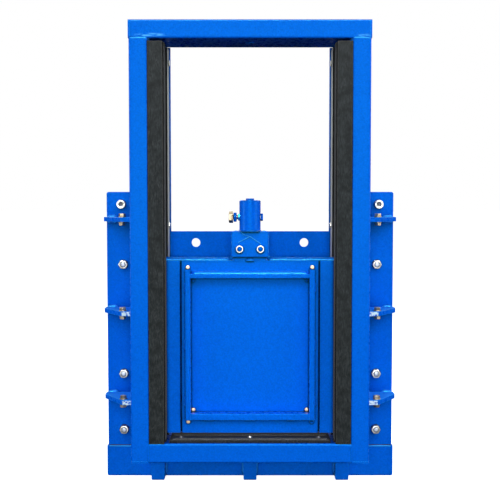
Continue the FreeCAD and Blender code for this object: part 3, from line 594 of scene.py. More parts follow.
def sawn_plastic(name, dark, light, edge_colour, scuff, reach=26.0 * MM, sides=None, fronts=None,
                 sheen=0.055):
    """Dull plastic or rubber; sides and fronts give faces that point that way another colour, on the guides
    mostly painted light and shade.
    """
    made, tree, shader = new_finish(name)
    marks = effect(tree, grain, Scale=420.0, Detail=5.0, Stretch=0.25)
    mottle = effect(tree, grain, Scale=900.0, Detail=4.0)
    edges = effect(tree, soft_edges, Radius=1.1 * MM, Sharpness=14.0)
    shade_mask = effect(tree, corner_shade, Reach=reach, Break_Up=0.3, Bite=3.0)
    wear_and_highlight = effect(tree, scuffs, Scale=60.0, Amount=scuff)
    facing = effect(tree, ways)
    body = blend(tree, scaled(tree, marks["Height"], 2.6, -0.8), dark, light)
    body = blend(tree, scaled(tree, mottle["Tone"], 3.0, -1.2), body, dark)
    body = blend(tree, wear_and_highlight["Mask"], body, SCUFF_GREY)
    # Side and front faces take another colour, on most guides painted light and shade.
    if sides:
        body = blend(tree, facing["Side"], body, sides)
    if fronts:
        body = blend(tree, facing["Front"], body, fronts)
    # Sawn edges lighten, partly as a painted highlight.
    body = blend(tree, scaled(tree, edges["Edge"], 0.8), body, edge_colour)
    # Painted shade: corners darken towards black.
    colour = blend(tree, scaled(tree, shade_mask["Mask"], 0.95), body, CORNER_BLACK)
    rough = maths(tree, "ADD", scaled(tree, marks["Height"], 0.25, 0.42), facing["Side"], clamp=True)
    connect(tree, shader, colour, rough, marks["Height"], edges["Normal"], 0.25 * MM)
    set_constants(shader, Specular_IOR_Level=sheen)
    return made


# %% Plastic and rubber finishes
# Painted light and shade: middle guides' sides and edges lighter, front guides' sides and rear guides' fronts
# black.
GUIDE_GREYS = ((0.008, 0.011, 0.012, 1), (0.037, 0.046, 0.049, 1))      # dark and light
black_plastic = sawn_plastic("sawn_black_plastic", *GUIDE_GREYS, (0.15, 0.13, 0.105, 1), 0.5)
middle_plastic = sawn_plastic("middle_guide_plastic", *GUIDE_GREYS, (0.19, 0.19, 0.18, 1), 0.5,
                              reach=8.0 * MM, sides=(0.06, 0.065, 0.07, 1))
front_plastic = sawn_plastic("front_guide_plastic", *GUIDE_GREYS, (0.13, 0.125, 0.11, 1), 0.5,
                             sides=(0.002, 0.003, 0.004, 1))
pale_sided_plastic = sawn_plastic("pale_sided_rear_guide", (0.02, 0.024, 0.026, 1), (0.05, 0.055, 0.06, 1),
                             (0.03, 0.03, 0.03, 1), 0.5, reach=3.0 * MM, sides=(0.50, 0.53, 0.52, 1),
                             fronts=(0.001, 0.001, 0.001, 1))
green_rubber = sawn_plastic("dark_green_sealant", (0.0005, 0.018, 0.07, 1), (0.001, 0.05, 0.28, 1),
                            (0.001, 0.08, 0.40, 1), 0.0, reach=3.0 * MM, sheen=0.0)
dusty_highlit_rubber = sawn_plastic("dusty_highlit_ridge_rubber", (0.055, 0.06, 0.065, 1), (0.22, 0.23, 0.24, 1),
                            (0.2, 0.2, 0.19, 1), 0.6, reach=3.0 * MM)
black_rubber = sawn_plastic("scuffed_black_rubber", (0.010, 0.012, 0.014, 1), (0.034, 0.040, 0.046, 1),
                            (0.10, 0.095, 0.085, 1), 0.7)


# %% [markdown]
# ## Steel of the fasteners
#
# The anchors are stainless and the bolts have a yellow zinc coat. Both are metals, so the base
# colour is the colour of the reflection, and a rough, slightly streaky surface spreads it wide.


# %% Steel
STEEL_CORNER_SHADE = (0.03, 0.028, 0.03, 1)


def fastener_steel(name, pale, deep, roughness):
    """Bare or plated metal with fine streaks from pale to deep."""
    made, tree, shader = new_finish(name)
    streaks = effect(tree, grain, Scale=900.0, Detail=3.0, Stretch=0.3)
    edges = effect(tree, soft_edges, Radius=0.4 * MM, Sharpness=4.0)
    shade_mask = effect(tree, corner_shade, Reach=3.0 * MM, Break_Up=0.4)
    body = blend(tree, scaled(tree, streaks["Tone"], 2.4, -0.7), deep, pale)
    # Painted shade: the feet and corners of the fasteners darken.
    colour = blend(tree, scaled(tree, shade_mask["Mask"], 0.75), body, STEEL_CORNER_SHADE)
    rough = scaled(tree, streaks["Height"], 0.25, roughness - 0.12)
    connect(tree, shader, colour, rough, streaks["Height"], edges["Normal"], 0.04 * MM)
    set_constants(shader, Metallic=1.0)
    return made


stainless = fastener_steel("stainless_steel", (0.62, 0.62, 0.55, 1), (0.44, 0.44, 0.39, 1), 0.36)
stud_steel = fastener_steel("dull_stud_steel", (0.33, 0.37, 0.44, 1), (0.20, 0.23, 0.29, 1), 0.45)
yellow_zinc = fastener_steel("yellow_zinc_steel", (0.48, 0.41, 0.29, 1), (0.22, 0.18, 0.12, 1), 0.34)
dark_steel = fastener_steel("shaded_socket_steel", (0.16, 0.17, 0.19, 1), (0.06, 0.07, 0.09, 1), 0.5)
rubbed_zinc = fastener_steel("rubbed_stud_end", (0.62, 0.47, 0.30, 1), (0.42, 0.31, 0.20, 1), 0.55)

# %% [markdown]
# ## Finishes on the solid model
#
# The record of the solid model says what each node is made of, and that picks the usual finish.
# A few nodes differ from their material's usual look: those are named one by one.

# %% Give the solid model its finishes
FINISHES = {"blue_paint": blue_enamel, "black_guide": black_plastic, "seal_rubber": black_rubber,
            "bright_steel": stainless, "zinc_steel": yellow_zinc}
SPECIAL_FINISHES = {"top_beam": beam_enamel, "head_plate": head_enamel, "side_ribs": rib_enamel,
                    "cross_ribs": rib_enamel}
for side in ("left", "right"):
    SPECIAL_FINISHES.update({side + "_front_guide": front_plastic, side + "_middle_guide": middle_plastic,
                             side + "_rear_guide": pale_sided_plastic, side + "_edge_bar": bar_enamel,
                             side + "_wall_flange": flange_enamel, side + "_lugs": lug_enamel})
LEAF_NODES = set(frame["record"]["behaviour"]["bodies"]["leaf"])
for part in frame["record"]["subparts"]:
    mesh = nodes[part["node"]].data
    mesh.materials.clear()
    finish = FINISHES[part["material_slot"]]
    if finish is blue_enamel and part["node"] in LEAF_NODES:
        finish = leaf_enamel
    finish = SPECIAL_FINISHES.get(part["node"], finish)
    mesh.materials.append(finish)
print("special finishes:", len(SPECIAL_FINISHES), "of", len(nodes), "nodes")

# %% [markdown]
# ## Building pieces in code
#
# Each detail is a mesh made with bmesh: corners are placed ring by ring and skinned with faces.
# One helper turns a finished bmesh into an object, gives it materials, smooths its shallow edges
# and makes it ride on the frame or on the leaf.


# %% Piece helper
SMOOTH_BELOW = 38              # degrees between faces that are shaded as one surface


def finish_piece(name, shape, finishes, body):
    """Make an object from a bmesh and attach it to a body of the gate."""
    bmesh.ops.recalc_face_normals(shape, faces=shape.faces[:])
    mesh = bpy.data.meshes.new(name)
    shape.to_mesh(mesh)
    shape.free()
    for finish in finishes:
        mesh.materials.append(finish)
    mesh.shade_smooth()
    mesh.set_sharp_from_angle(angle=math.radians(SMOOTH_BELOW))
    piece = bpy.data.objects.new(name, mesh)
    scene.collection.objects.link(piece)
    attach(piece, body)
    print(name, "on the", body + ":", len(mesh.polygons), "faces")
    return piece


# %% [markdown]
# ## Fasteners
#
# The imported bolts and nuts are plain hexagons, right in size and place. Up close a real nut has
# corners that were turned off at 30 degrees, so its flats end in curves, and a bolt end shows its
# thread. Both are surfaces of revolution with one difference: the radius of a hexagon depends on
# the angle. So one ring function that takes a number or a formula for radius and height makes
# every fastener here, and no modifier is needed.


# %% Rings and hexagons
SIDES = 48                     # corners round a turned piece, a multiple of 12
CHAMFER_SLOPE = math.tan(math.radians(30))
FACE_SHARE = 0.955             # of a nut's width over the flats is left by its chamfer
THREAD_ROOT = 0.88             # of a bolt's radius is left at the root of its thread


def ring(shape, radius, height):
    """A loop of corners; radius and height are numbers or formulas of the angle."""
    loop = []
    for k in range(SIDES):
        a = 2 * math.pi * k / SIDES
        r = radius(a) if callable(radius) else radius
        z = height(a) if callable(height) else height
        loop.append(shape.verts.new((r * math.cos(a), r * math.sin(a), z)))
    return loop


def skin(shape, loops, finish=0, close=False, cap_low=False, cap_high=False):
    """Faces between each loop and the next; close joins the last loop to the first."""
    pairs = list(zip(loops, loops[1:]))
    if close:
        pairs.append((loops[-1], loops[0]))
    faces = []
    for low, high in pairs:
        for k in range(len(low)):
            n = (k + 1) % len(low)
            faces.append(shape.faces.new((low[k], low[n], high[n], high[k])))
    if cap_low:
        faces.append(shape.faces.new(loops[0][::-1]))
    if cap_high:
        faces.append(shape.faces.new(loops[-1]))
    for face in faces:
        face.material_index = finish


def hexagon(flats, turn=0.0):
    """The radius of a hexagon at an angle."""
    def radius(a):
        return flats / 2 / math.cos((a + turn) % (math.pi / 3) - math.pi / 6)
    return radius


def corner_cut(flats, base, way, turn=0.0):
    """The height at which a 30 degree chamfer meets a hexagon's side, at an angle."""
    side = hexagon(flats, turn)

    def height(a):
        return base + way * max(0.0, side(a) - FACE_SHARE * flats / 2) * CHAMFER_SLOPE
    return height


# %% [markdown]
# ### Nut, washer, thread and heads
#
# Each of these is built standing up along +Z from the plane it sits on, and moved into place at the
# end. Their rings go round the outline in order, so the faces between them close without a seam.


# %% Nut, washer, thread and heads
def nut(shape, flats, bore, low, high, side_finish=0, face_finish=0, turn=0.0):
    """A hexagon nut with both faces chamfered; its side and faces can differ in finish."""
    face = FACE_SHARE * flats / 2
    lead = 0.06 * flats
    loops = [ring(shape, bore, low), ring(shape, face, low),
             ring(shape, hexagon(flats, turn), corner_cut(flats, low, 1, turn)),
             ring(shape, hexagon(flats, turn), corner_cut(flats, high, -1, turn)),
             ring(shape, face, high), ring(shape, bore + lead, high), ring(shape, bore, high - lead)]
    skin(shape, loops[1:5], side_finish)
    skin(shape, loops[4:] + [loops[0], loops[1]], face_finish)


def washer(shape, outer, bore, low, high, finish=0):
    """A flat ring with softened rims."""
    soft = 0.18 * (high - low)
    loops = [ring(shape, bore, low), ring(shape, outer - soft, low), ring(shape, outer, low + soft),
             ring(shape, outer, high - soft), ring(shape, outer - soft, high), ring(shape, bore, high)]
    skin(shape, loops, finish, close=True)


def thread(shape, radius, low, high, pitch, finish=0):
    """A bolt end: ridges with a pitch apart, and a chamfered tip."""
    loops = [ring(shape, radius * THREAD_ROOT, low)]
    ridges = max(1, int((high - low - 0.6 * pitch) / pitch))
    for k in range(ridges):
        foot = low + k * pitch
        loops.append(ring(shape, radius, foot + 0.25 * pitch))
        loops.append(ring(shape, radius, foot + 0.45 * pitch))
        loops.append(ring(shape, radius * THREAD_ROOT, foot + 0.9 * pitch))
    loops.append(ring(shape, radius * 0.90, high - 0.25 * pitch))
    loops.append(ring(shape, radius * 0.78, high))
    loops.append(ring(shape, radius * 0.25, high))
    skin(shape, loops, finish, cap_low=True, cap_high=True)


def hex_head(shape, flats, low, high, finish=0, turn=0.0):
    """A bolt head: chamfered on its outer face only, with a shallow dish in the middle."""
    face = FACE_SHARE * flats / 2
    loops = [ring(shape, hexagon(flats * 0.97, turn), low),
             ring(shape, hexagon(flats, turn), low + 0.03 * flats),
             ring(shape, hexagon(flats, turn), corner_cut(flats, high, -1, turn)), ring(shape, face, high),
             ring(shape, face * 0.72, high), ring(shape, face * 0.60, high - 0.02 * flats)]
    skin(shape, loops, finish, cap_low=True, cap_high=True)


def socket_head(shape, radius, flats, depth, low, high, finish=0, floor_finish=0):
    """A round head with fine knurling and a hexagon socket."""
    def knurled(a):
        return radius * (1 - 0.012 * (math.cos(a * SIDES / 2) < 0))
    lip = 0.10 * radius
    loops = [ring(shape, radius * 0.96, low), ring(shape, knurled, low + lip),
             ring(shape, knurled, high - 2 * lip),
             ring(shape, radius, high - 1.6 * lip), ring(shape, radius, high - lip),
             ring(shape, radius - lip, high), ring(shape, flats * 0.60, high),
             ring(shape, hexagon(flats), high - 0.6 * MM)]
    skin(shape, loops, finish, cap_low=True)
    deep = [loops[-1], ring(shape, hexagon(flats), high - depth),
            ring(shape, flats * 0.2, high - depth - 1.0 * MM)]
    skin(shape, deep, floor_finish, cap_high=True)


def aim(shape, place, direction):
    """Move a fastener built along +Z so that it stands at place and points along direction."""
    turn = Vector(direction).to_track_quat("Z", "Y").to_matrix().to_4x4()
    bmesh.ops.transform(shape, matrix=Matrix.Translation(place) @ turn, verts=shape.verts[:])


# %% [markdown]
# ### Wall anchors
#
# Three stainless studs with nuts and one socket head screw hold each side plate. A thin black
# ring under each one is a painted shade line round its foot. The outer faces of the nuts are
# bright, and the screw's socket is dark, because little light reaches its floor.

# %% Wall anchors
ANCHOR_FLATS = 18 * MM
ANCHOR_BORE = 6.0 * MM
ANCHOR_HEIGHT = 11 * MM
ANCHOR_PITCH = 1.75 * MM
SOCKET_FLATS = 10 * MM
SOCKET_DEPTH = 6 * MM
SHADE_RING = 0.7 * MM
SHADE_RING_WIDTH = 0.60             # radius of the ring as a share of the flats
FLANGE_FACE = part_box("left_wall_flange")[0].y
OUTWARDS = Vector((0, -1, 0))

for side in ("left", "right"):
    solids = solids_of(side + "_anchor_bolts")
    for k, (low, high) in enumerate(solids):
        shape = bmesh.new()
        tip = FLANGE_FACE - low.y
        # Painted shade: a thin black ring round the foot of each anchor.
        washer(shape, ANCHOR_FLATS * SHADE_RING_WIDTH, ANCHOR_BORE, 0, SHADE_RING, finish=3)
        if k < len(solids) - 1:
            nut(shape, ANCHOR_FLATS, ANCHOR_BORE, 0, ANCHOR_HEIGHT)
            thread(shape, ANCHOR_BORE, ANCHOR_HEIGHT - 2 * ANCHOR_PITCH, tip, ANCHOR_PITCH, finish=2)
        else:
            socket_head(shape, (high.x - low.x) / 2, SOCKET_FLATS, SOCKET_DEPTH, 0, tip, floor_finish=1)
        aim(shape, ((low.x + high.x) / 2, FLANGE_FACE, (low.z + high.z) / 2), OUTWARDS)
        anchor = finish_piece("%s_wall_anchor_%d" % (side, k + 1), shape,
                              [stainless, dark_steel, stud_steel, black_rubber], "frame")
    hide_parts(side + "_anchor_bolts")
print("wall anchors at z =", [round((a.z + b.z) / 2, 3) for a, b in solids])

# %% [markdown]
# ### Lug bolts
#
# A yellow zinc bolt goes down through each lug, with a washer on both sides. The head and nut
# stand at different angles, as they stopped wherever they were tight.

# %% Lug bolts
LUG_BOLT_FLATS = 13 * MM
LUG_BOLT_RADIUS = 4 * MM
WASHER_RADIUS = 8.5 * MM
WASHER_HEIGHT = 1.6 * MM
LUG_BOLT_PITCH = 1.25 * MM
UP = Vector((0, 0, 1))
rng = random.Random(12)

for side in ("left", "right"):
    lugs = solids_of(side + "_lugs")
    bolts = solids_of(side + "_lug_bolts")
    for k, (bolt, lug) in enumerate(zip(bolts, lugs)):
        low, high = bolt
        bottom, top = lug[0].z, lug[1].z
        shape = bmesh.new()
        washer(shape, WASHER_RADIUS, LUG_BOLT_RADIUS, top, top + WASHER_HEIGHT)
        hex_head(shape, LUG_BOLT_FLATS, top + WASHER_HEIGHT, high.z, turn=rng.uniform(0, 1))
        washer(shape, WASHER_RADIUS, LUG_BOLT_RADIUS, bottom - WASHER_HEIGHT, bottom)
        nut(shape, LUG_BOLT_FLATS, LUG_BOLT_RADIUS, low.z, bottom - WASHER_HEIGHT, turn=rng.uniform(0, 1))
        thread(shape, LUG_BOLT_RADIUS, low.z + LUG_BOLT_PITCH, bottom, LUG_BOLT_PITCH)
        aim(shape, ((low.x + high.x) / 2, (low.y + high.y) / 2, 0), UP)
        lug_bolt = finish_piece("%s_lug_bolt_%d" % (side, k + 1), shape, [yellow_zinc], "frame")
    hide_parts(side + "_lug_bolts")
print("lug bolts a side:", len(bolts))

# %% [markdown]
# ### Guide screws and seal screws
#
# Hexagon screws hold the rear guides to the posts. The three screws of the sill bar have a
# hexagon socket and stand in a soft dark ring, where the rubber bulged when they were tightened.

# %% Guide screws and seal screws
GUIDE_SCREW_FLATS = 13 * MM
SEAL_SOCKET_DEPTH = 2.5 * MM
SEAL_HEAD_STANDS = 0.4 * MM     # above the rubber
BULGE_WIDTH = 3.2 * MM          # of the rubber round a head
BULGE_GAP = 0.3 * MM
BULGE_LOW, BULGE_HIGH = 1.0 * MM, 0.2 * MM      # below the top of the head
for k, (low, high) in enumerate(solids_of("guide_screws")):
    side = -1 if low.x < 0 else 1
    name = "left" if side < 0 else "right"
    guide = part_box(name + "_rear_guide")
    seat = guide[1].x if side < 0 else guide[0].x
    reach = abs((high.x if side < 0 else low.x) - seat)
    shape = bmesh.new()
    hex_head(shape, GUIDE_SCREW_FLATS, 0, reach)
    aim(shape, (seat, (low.y + high.y) / 2, (low.z + high.z) / 2), (-side, 0, 0))
    screw = finish_piece("%s_guide_screw_%d" % (name, k // 2 + 1), shape, [stainless], "frame")
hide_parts("guide_screws")

for k, (low, high) in enumerate(solids_of("sill_seal_screws")):
    radius = (high.x - low.x) / 2
    shape = bmesh.new()
    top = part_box("sill_seal")[1].z - low.z + SEAL_HEAD_STANDS
    socket_head(shape, radius, radius, SEAL_SOCKET_DEPTH, 0, top, floor_finish=1)
    washer(shape, radius + BULGE_WIDTH, radius + BULGE_GAP, top - BULGE_LOW, top - BULGE_HIGH, finish=1)
    aim(shape, ((low.x + high.x) / 2, (low.y + high.y) / 2, low.z), UP)
    # Painted shade: the two outer heads are dark steel, and each socket floor is black rubber.
    head_finish = stainless if abs(low.x + high.x) < 1 * MM else dark_steel
    screw = finish_piece("sill_seal_screw_%d" % (k + 1), shape, [head_finish, black_rubber], "frame")
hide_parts("sill_seal_screws")
print("seal screws stand at z =", round(low.z + top, 4))

# %% [markdown]
# ### Studs of the leaf
#
# Eight short round studs are welded at the corners of the raised frame. They were painted with the
# leaf, and five were rubbed bare on top, so their ends show yellow metal inside a collar of blue.
# The other three keep painted ends.

# %% Studs of the leaf
UPPER_STUDS = 250 * MM
stud_places = [(low + high) / 2 for low, high in solids_of("leaf_studs")]
lowest_right = min(range(8), key=lambda k: stud_places[k].z - stud_places[k].x)
upper = [k for k in range(8) if stud_places[k].z > UPPER_STUDS]
PAINTED_STUDS = {lowest_right, *sorted(upper, key=lambda k: stud_places[k].z)[:2]}
for k, (low, high) in enumerate(solids_of("leaf_studs")):
    radius = (high.x - low.x) / 2
    height = high.y - low.y
    shape = bmesh.new()
    collar = [ring(shape, radius, 0), ring(shape, radius * 1.0, height * 0.15),
              ring(shape, radius * 0.98, height * 0.45), ring(shape, radius * 0.92, height * 0.86)]
    crown = [collar[-1], ring(shape, radius * 0.80, height * 0.96), ring(shape, radius * 0.5, height),
             ring(shape, radius * 0.15, height)]
    skin(shape, collar, 0, cap_low=True)
    skin(shape, crown, 1, cap_high=True)
    aim(shape, ((low.x + high.x) / 2, high.y, (low.z + high.z) / 2), OUTWARDS)
    crown_finish = leaf_enamel if k in PAINTED_STUDS else rubbed_zinc
    stud = finish_piece("leaf_stud_%d" % (k + 1), shape, [leaf_enamel, crown_finish], "leaf")
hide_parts("leaf_studs")
print("studs with painted ends:", sorted(k + 1 for k in PAINTED_STUDS))

# %% [markdown]
# ### Bolts of the hoist bracket
#
# The nuts on the bracket were painted over, then a spanner or a rag took the paint off their faces,
# which leaves a bright ring round a blue bolt end.

# %% Hoist bolts
HOIST_FLATS = 16 * MM
HOIST_NUT = 8 * MM
HOIST_RADIUS = 5 * MM
HOIST_PITCH = 1.5 * MM
bracket_low, bracket_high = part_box("hoist_bracket")
for k, (low, high) in enumerate(solids_of("hoist_bolts")):
    radius = HOIST_RADIUS
    place = Vector(((low.x + high.x) / 2, bracket_low.y, (low.z + high.z) / 2))
    tip = bracket_low.y - low.y
    shape = bmesh.new()
    nut(shape, HOIST_FLATS, radius, 0, HOIST_NUT, side_finish=0, face_finish=1, turn=math.pi / 6)
    thread(shape, radius, HOIST_NUT - 2 * HOIST_PITCH, tip, HOIST_PITCH, finish=0)
    aim(shape, place, OUTWARDS)
    bolt = finish_piece("hoist_nut_%d" % (k + 1), shape, [blue_enamel, stainless], "leaf")
    shape = bmesh.new()
    hex_head(shape, HOIST_FLATS, 0, high.y - bracket_high.y)
    aim(shape, (place.x, bracket_high.y, place.z), -OUTWARDS)
    finish_piece("hoist_bolt_head_%d" % (k + 1), shape, [yellow_zinc], "leaf")
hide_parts("hoist_bolts")

# %% [markdown]
# ### Lock bolt of the stem coupling
#
# A bolt crosses the coupling and clamps the stem. From the left come its head, a lock nut, a bit
# of thread and a nut welded to the coupling. On the right only a painted nut shows.

# %% Lock bolt
LOCK_HEAD = 9.5 * MM
LOCK_HEAD_FLATS = 22.36 * MM
LOCK_NUT_GAP = 1.0 * MM        # head to lock nut
LOCK_NUT = 7 * MM
LOCK_NUT_FLATS = 19 * MM
LOCK_RADIUS = 5 * MM
LOCK_PITCH = 1.5 * MM
FAR_FLATS = 15 * MM
FAR_RADIUS = 3.2 * MM
FAR_PITCH = 1.0 * MM
WELD_NUT_LOW, WELD_NUT_HIGH = -1.5 * MM, 3.0 * MM      # from the coupling's side
(low, high), = solids_of("coupling_lock_bolt")
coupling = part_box("stem_coupling")
lock_z = (low.z + high.z) / 2
axis_y = (coupling[0].y + coupling[1].y) / 2
coupling_radius = (coupling[1].x - coupling[0].x) / 2
shape = bmesh.new()
hex_head(shape, LOCK_HEAD_FLATS, 0, LOCK_HEAD, finish=0, turn=math.pi / 6)
aim(shape, (low.x + LOCK_HEAD, axis_y, lock_z), (-1, 0, 0))
lock_nut_x = low.x + LOCK_HEAD + LOCK_NUT_GAP
extra = bmesh.new()
nut(extra, LOCK_NUT_FLATS, LOCK_RADIUS, 0, LOCK_NUT, side_finish=1, face_finish=1, turn=math.radians(12))
thread(extra, LOCK_RADIUS, -LOCK_NUT_GAP, -coupling_radius - lock_nut_x, LOCK_PITCH, finish=0)
aim(extra, (lock_nut_x, axis_y, lock_z), (1, 0, 0))
joined = bpy.data.meshes.new("lock_stack")
extra.to_mesh(joined)
extra.free()
shape.from_mesh(joined)
bpy.data.meshes.remove(joined)
bolt = finish_piece("lock_bolt", shape, [yellow_zinc, blue_enamel], "leaf")
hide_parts("coupling_lock_bolt")

shape = bmesh.new()
far_end = high.x - coupling_radius
nut(shape, FAR_FLATS, FAR_RADIUS, 0, far_end, side_finish=0, face_finish=0, turn=math.radians(20))
thread(shape, FAR_RADIUS, 0, far_end - 0.6 * MM, FAR_PITCH)
aim(shape, (coupling_radius, axis_y, lock_z), (1, 0, 0))
finish_piece("lock_bolt_far_nut", shape, [blue_enamel], "leaf")

shape = bmesh.new()
nut(shape, FAR_FLATS, LOCK_RADIUS, WELD_NUT_LOW, WELD_NUT_HIGH, turn=math.radians(5))
aim(shape, (-coupling_radius, axis_y, lock_z), (-1, 0, 0))
finish_piece("coupling_weld_nut", shape, [weld_enamel], "leaf")

# %% [markdown]
# ## Weld beads
#
# The frame is welded together, and most of its character is in the beads: a soft ripple where the
# torch stepped along, a little uneven, rounded at both ends and shining more than the plates. A
# bead could be a curve with a bevel, but its ripples would then be only painted on. Instead a
# section is swept along the joint and its size changes with every step, so the ripples are real.
#
# A fillet bead fills the corner between two plates and its section is a quarter turn. A flat bead
# lies on a seam and its section is a half turn.


# %% Weld helper
BEAD_STEP = 0.8 * MM           # sections along a bead
BEAD_SLICES = 8                # faces across a bead
RIPPLE = 2.6 * MM              # from one torch step to the next
CORNER_ROOT = 0.18             # share of its size that a corner bead is sunk
SEAM_ROOT = 0.2                # the same for a flat bead
LONG_WAVE, SHORT_WAVE, STEP_WAVE = 9 * MM, 3.7 * MM, 6 * MM      # slow changes of size and pace


def line_frames(start, end, side, rise):
    """Frames (place, side, rise) along a straight joint."""
    start, end = Vector(start), Vector(end)
    count = max(4, round((end - start).length / BEAD_STEP))
    return [(start.lerp(end, k / count), Vector(side), Vector(rise)) for k in range(count + 1)]


def run(start, end, side, rise, size, **options):
    """A straight bead, as weld wants it."""
    return line_frames(start, end, side, rise), size, options


def round_frames(centre, radius):
    """Frames round an upright cylinder that stands on a plate."""
    count = max(12, round(2 * math.pi * radius / BEAD_STEP))
    frames = []
    for k in range(count + 1):
        a = math.radians(360.0 * k / count)
        out = Vector((math.cos(a), math.sin(a), 0))
        frames.append((Vector(centre) + out * radius, out, UP))
    return frames


def bead(shape, frames, size, spread=90.0, flat=1.35, lumpy=0.16, seed=1, lift=1.0):
    """Sweep a rippled section along the frames; spread is 90 in a corner and 180 on a seam."""
    draw = random.Random(seed)
    wave = [draw.uniform(0, 2 * math.pi) for _ in range(3)]
    gone = 0.0
    total = sum((b[0] - a[0]).length for a, b in zip(frames, frames[1:]))
    on_seam = spread > 120
    loops = []
    before = frames[0][0]
    for place, side, rise in frames:
        gone += (place - before).length
        before = place
        end_gap = min(gone, total - gone)
        taper = math.sqrt(min(1.0, (end_gap + 0.3 * MM) / (1.4 * size)))
        swell = math.sin(gone / LONG_WAVE + wave[0]) + 0.6 * math.sin(gone / SHORT_WAVE + wave[1])
        drift = 1 + 0.5 * lumpy * swell
        root = rise * size * SEAM_ROOT if on_seam else (side + rise) * size * CORNER_ROOT
        loop = [shape.verts.new(place - root)]
        for j in range(BEAD_SLICES + 1):
            a = math.radians(spread) * j / BEAD_SLICES
            middle = math.sin(math.pi * j / BEAD_SLICES)
            phase = (gone + 0.55 * RIPPLE * middle) / RIPPLE + 0.15 * math.sin(gone / STEP_WAVE + wave[2])
            hump = 1 - (2 * (phase % 1.0) - 1) ** 2
            bulge = 1 + lumpy * (hump - 0.6) * middle
            r = size * taper * drift * bulge
            across, up = math.cos(a), math.sin(a)
            across = math.copysign(abs(across) ** flat, across)
            up = abs(up) ** (1.0 if on_seam else flat) * lift
            loop.append(shape.verts.new(place + side * r * across + rise * r * up))
        loops.append(loop)
    skin(shape, loops, cap_low=True, cap_high=True)


def weld(name, body, *runs, finish=None):
    """One piece from several beads; a run is (frames, size, options)."""
    shape = bmesh.new()
    for k, (frames, size, options) in enumerate(runs):
        bead(shape, frames, size, seed=len(name) * 7 + k, **options)
    return finish_piece(name, shape, [finish or weld_enamel], body)


# %% [markdown]
# ### Welds of the frame
#
# The top beam lies on the posts, and its rounded lower edge leaves a groove that the weld fills.
# Each lug has a bead along the side plate and one up the post, above and below. Behind the posts,
# where nobody looks for beauty, short stitches every few centimetres are enough.

# %% Frame welds
ROUND = 4.5 * MM               # radius of the hollow sections' long edges
SEAM = {"spread": 180.0, "flat": 1.0}
LEFT, RIGHT = Vector((-1, 0, 0)), Vector((1, 0, 0))
BACK, DOWN = Vector((0, 1, 0)), Vector((0, 0, -1))
BOTH_SIDES = (("left", -1, LEFT), ("right", 1, RIGHT))
for name, sign, out in BOTH_SIDES:
    low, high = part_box(name + "_post")
    outer, inner = (low.x, high.x) if sign < 0 else (high.x, low.x)
    top = high.z
    groove_y, groove_z = FRONT + 2.9 * MM, top + 0.9 * MM
    weld(name + "_post_top_weld", "frame",
         run((outer - sign * 0.5 * MM, groove_y, groove_z), (inner + sign * 0.5 * MM, groove_y, groove_z),
             UP, OUTWARDS, 3.2 * MM, lift=0.75, **SEAM),
         run((outer, FRONT + ROUND, top), (outer, high.y - ROUND, top), DOWN, out, 1.0 * MM,
             lift=0.45, **SEAM),
         run((inner, FRONT + ROUND, top), (inner, high.y - ROUND, top), -out, DOWN, 4.0 * MM))
    for k, (lug_low, lug_high) in enumerate(solids_of(name + "_lugs")):
        near = lug_high.x if sign < 0 else lug_low.x
        far = lug_low.x if sign < 0 else lug_high.x
        back = lug_high.y
        runs = []
        for level, way in ((lug_high.z, UP), (lug_low.z, DOWN)):
            runs += [run((far - sign * 3 * MM, back, level), (far - sign * 27 * MM, back, level),
                         OUTWARDS, way, 4.6 * MM, lumpy=0.22),
                     run((near + sign * 14 * MM, back, level), (near, back, level),
                         OUTWARDS, way, 4.2 * MM, lumpy=0.22),
                     run((near, lug_low.y + 1 * MM, level), (near, back - 4 * MM, level), out, way, 3.8 * MM)]
        runs.append(run((near, lug_low.y, lug_low.z), (near, lug_low.y, lug_high.z), out, OUTWARDS, 4.0 * MM))
        weld("%s_lug_weld_%d" % (name, k + 1), "frame", *runs)

# %% [markdown]
# ### Stitches
#
# The side plates are held to the posts by short stitches at an even pitch. They start half a gap
# above the lower end of the plate and stop before its upper end.

# %% Stitches between the posts and the side plates
STITCH = 34 * MM
STITCH_GAP = 62 * MM
STITCH_SIZE = 4.0 * MM
for name, sign, out in BOTH_SIDES:
    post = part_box(name + "_post")
    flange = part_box(name + "_wall_flange")
    outer = post[0].x if sign < 0 else post[1].x
    runs = []
    z = flange[0].z + STITCH_GAP / 2
    while z + STITCH < flange[1].z:
        runs.append(run((outer, FLANGE_FACE, z), (outer, FLANGE_FACE, z + STITCH), out, OUTWARDS,
                        STITCH_SIZE))
        z += STITCH + STITCH_GAP
    weld(name + "_post_stitches", "frame", *runs)
print("stitches a side:", len(runs))

# %% [markdown]
# ### Corners of the bottom beam
#
# The bottom beam meets the posts face to face, and the groove beside the post's rounded edge was
# filled with weld and ground flush. The filler follows the beam's own outline, so the paint runs
# over the joint without a line.

# %% Ground corners
beam_low, beam_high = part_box("bottom_beam")
for name, sign in (("left", -1), ("right", 1)):
    shape = bmesh.new()
    loops = []
    for x in (beam_high.x + ROUND + 0.3 * MM, beam_high.x - 0.3 * MM):
        outline = [(FRONT + 2 * ROUND, beam_low.z + 0.02 * MM), (FRONT + 2 * ROUND, beam_high.z - 0.02 * MM)]
        for k in range(7):
            a = math.radians(15 * k)
            outline.append((FRONT + ROUND - ROUND * math.sin(a), beam_high.z - ROUND + ROUND * math.cos(a)))
        for k in range(7):
            a = math.radians(15 * k)
            outline.append((FRONT + ROUND - ROUND * math.cos(a), beam_low.z + ROUND - ROUND * math.sin(a)))
        loops.append([shape.verts.new((sign * x, y, z)) for y, z in outline])
    skin(shape, loops, cap_low=True, cap_high=True)
    finish_piece(name + "_ground_corner", shape, [smooth_enamel], "frame")

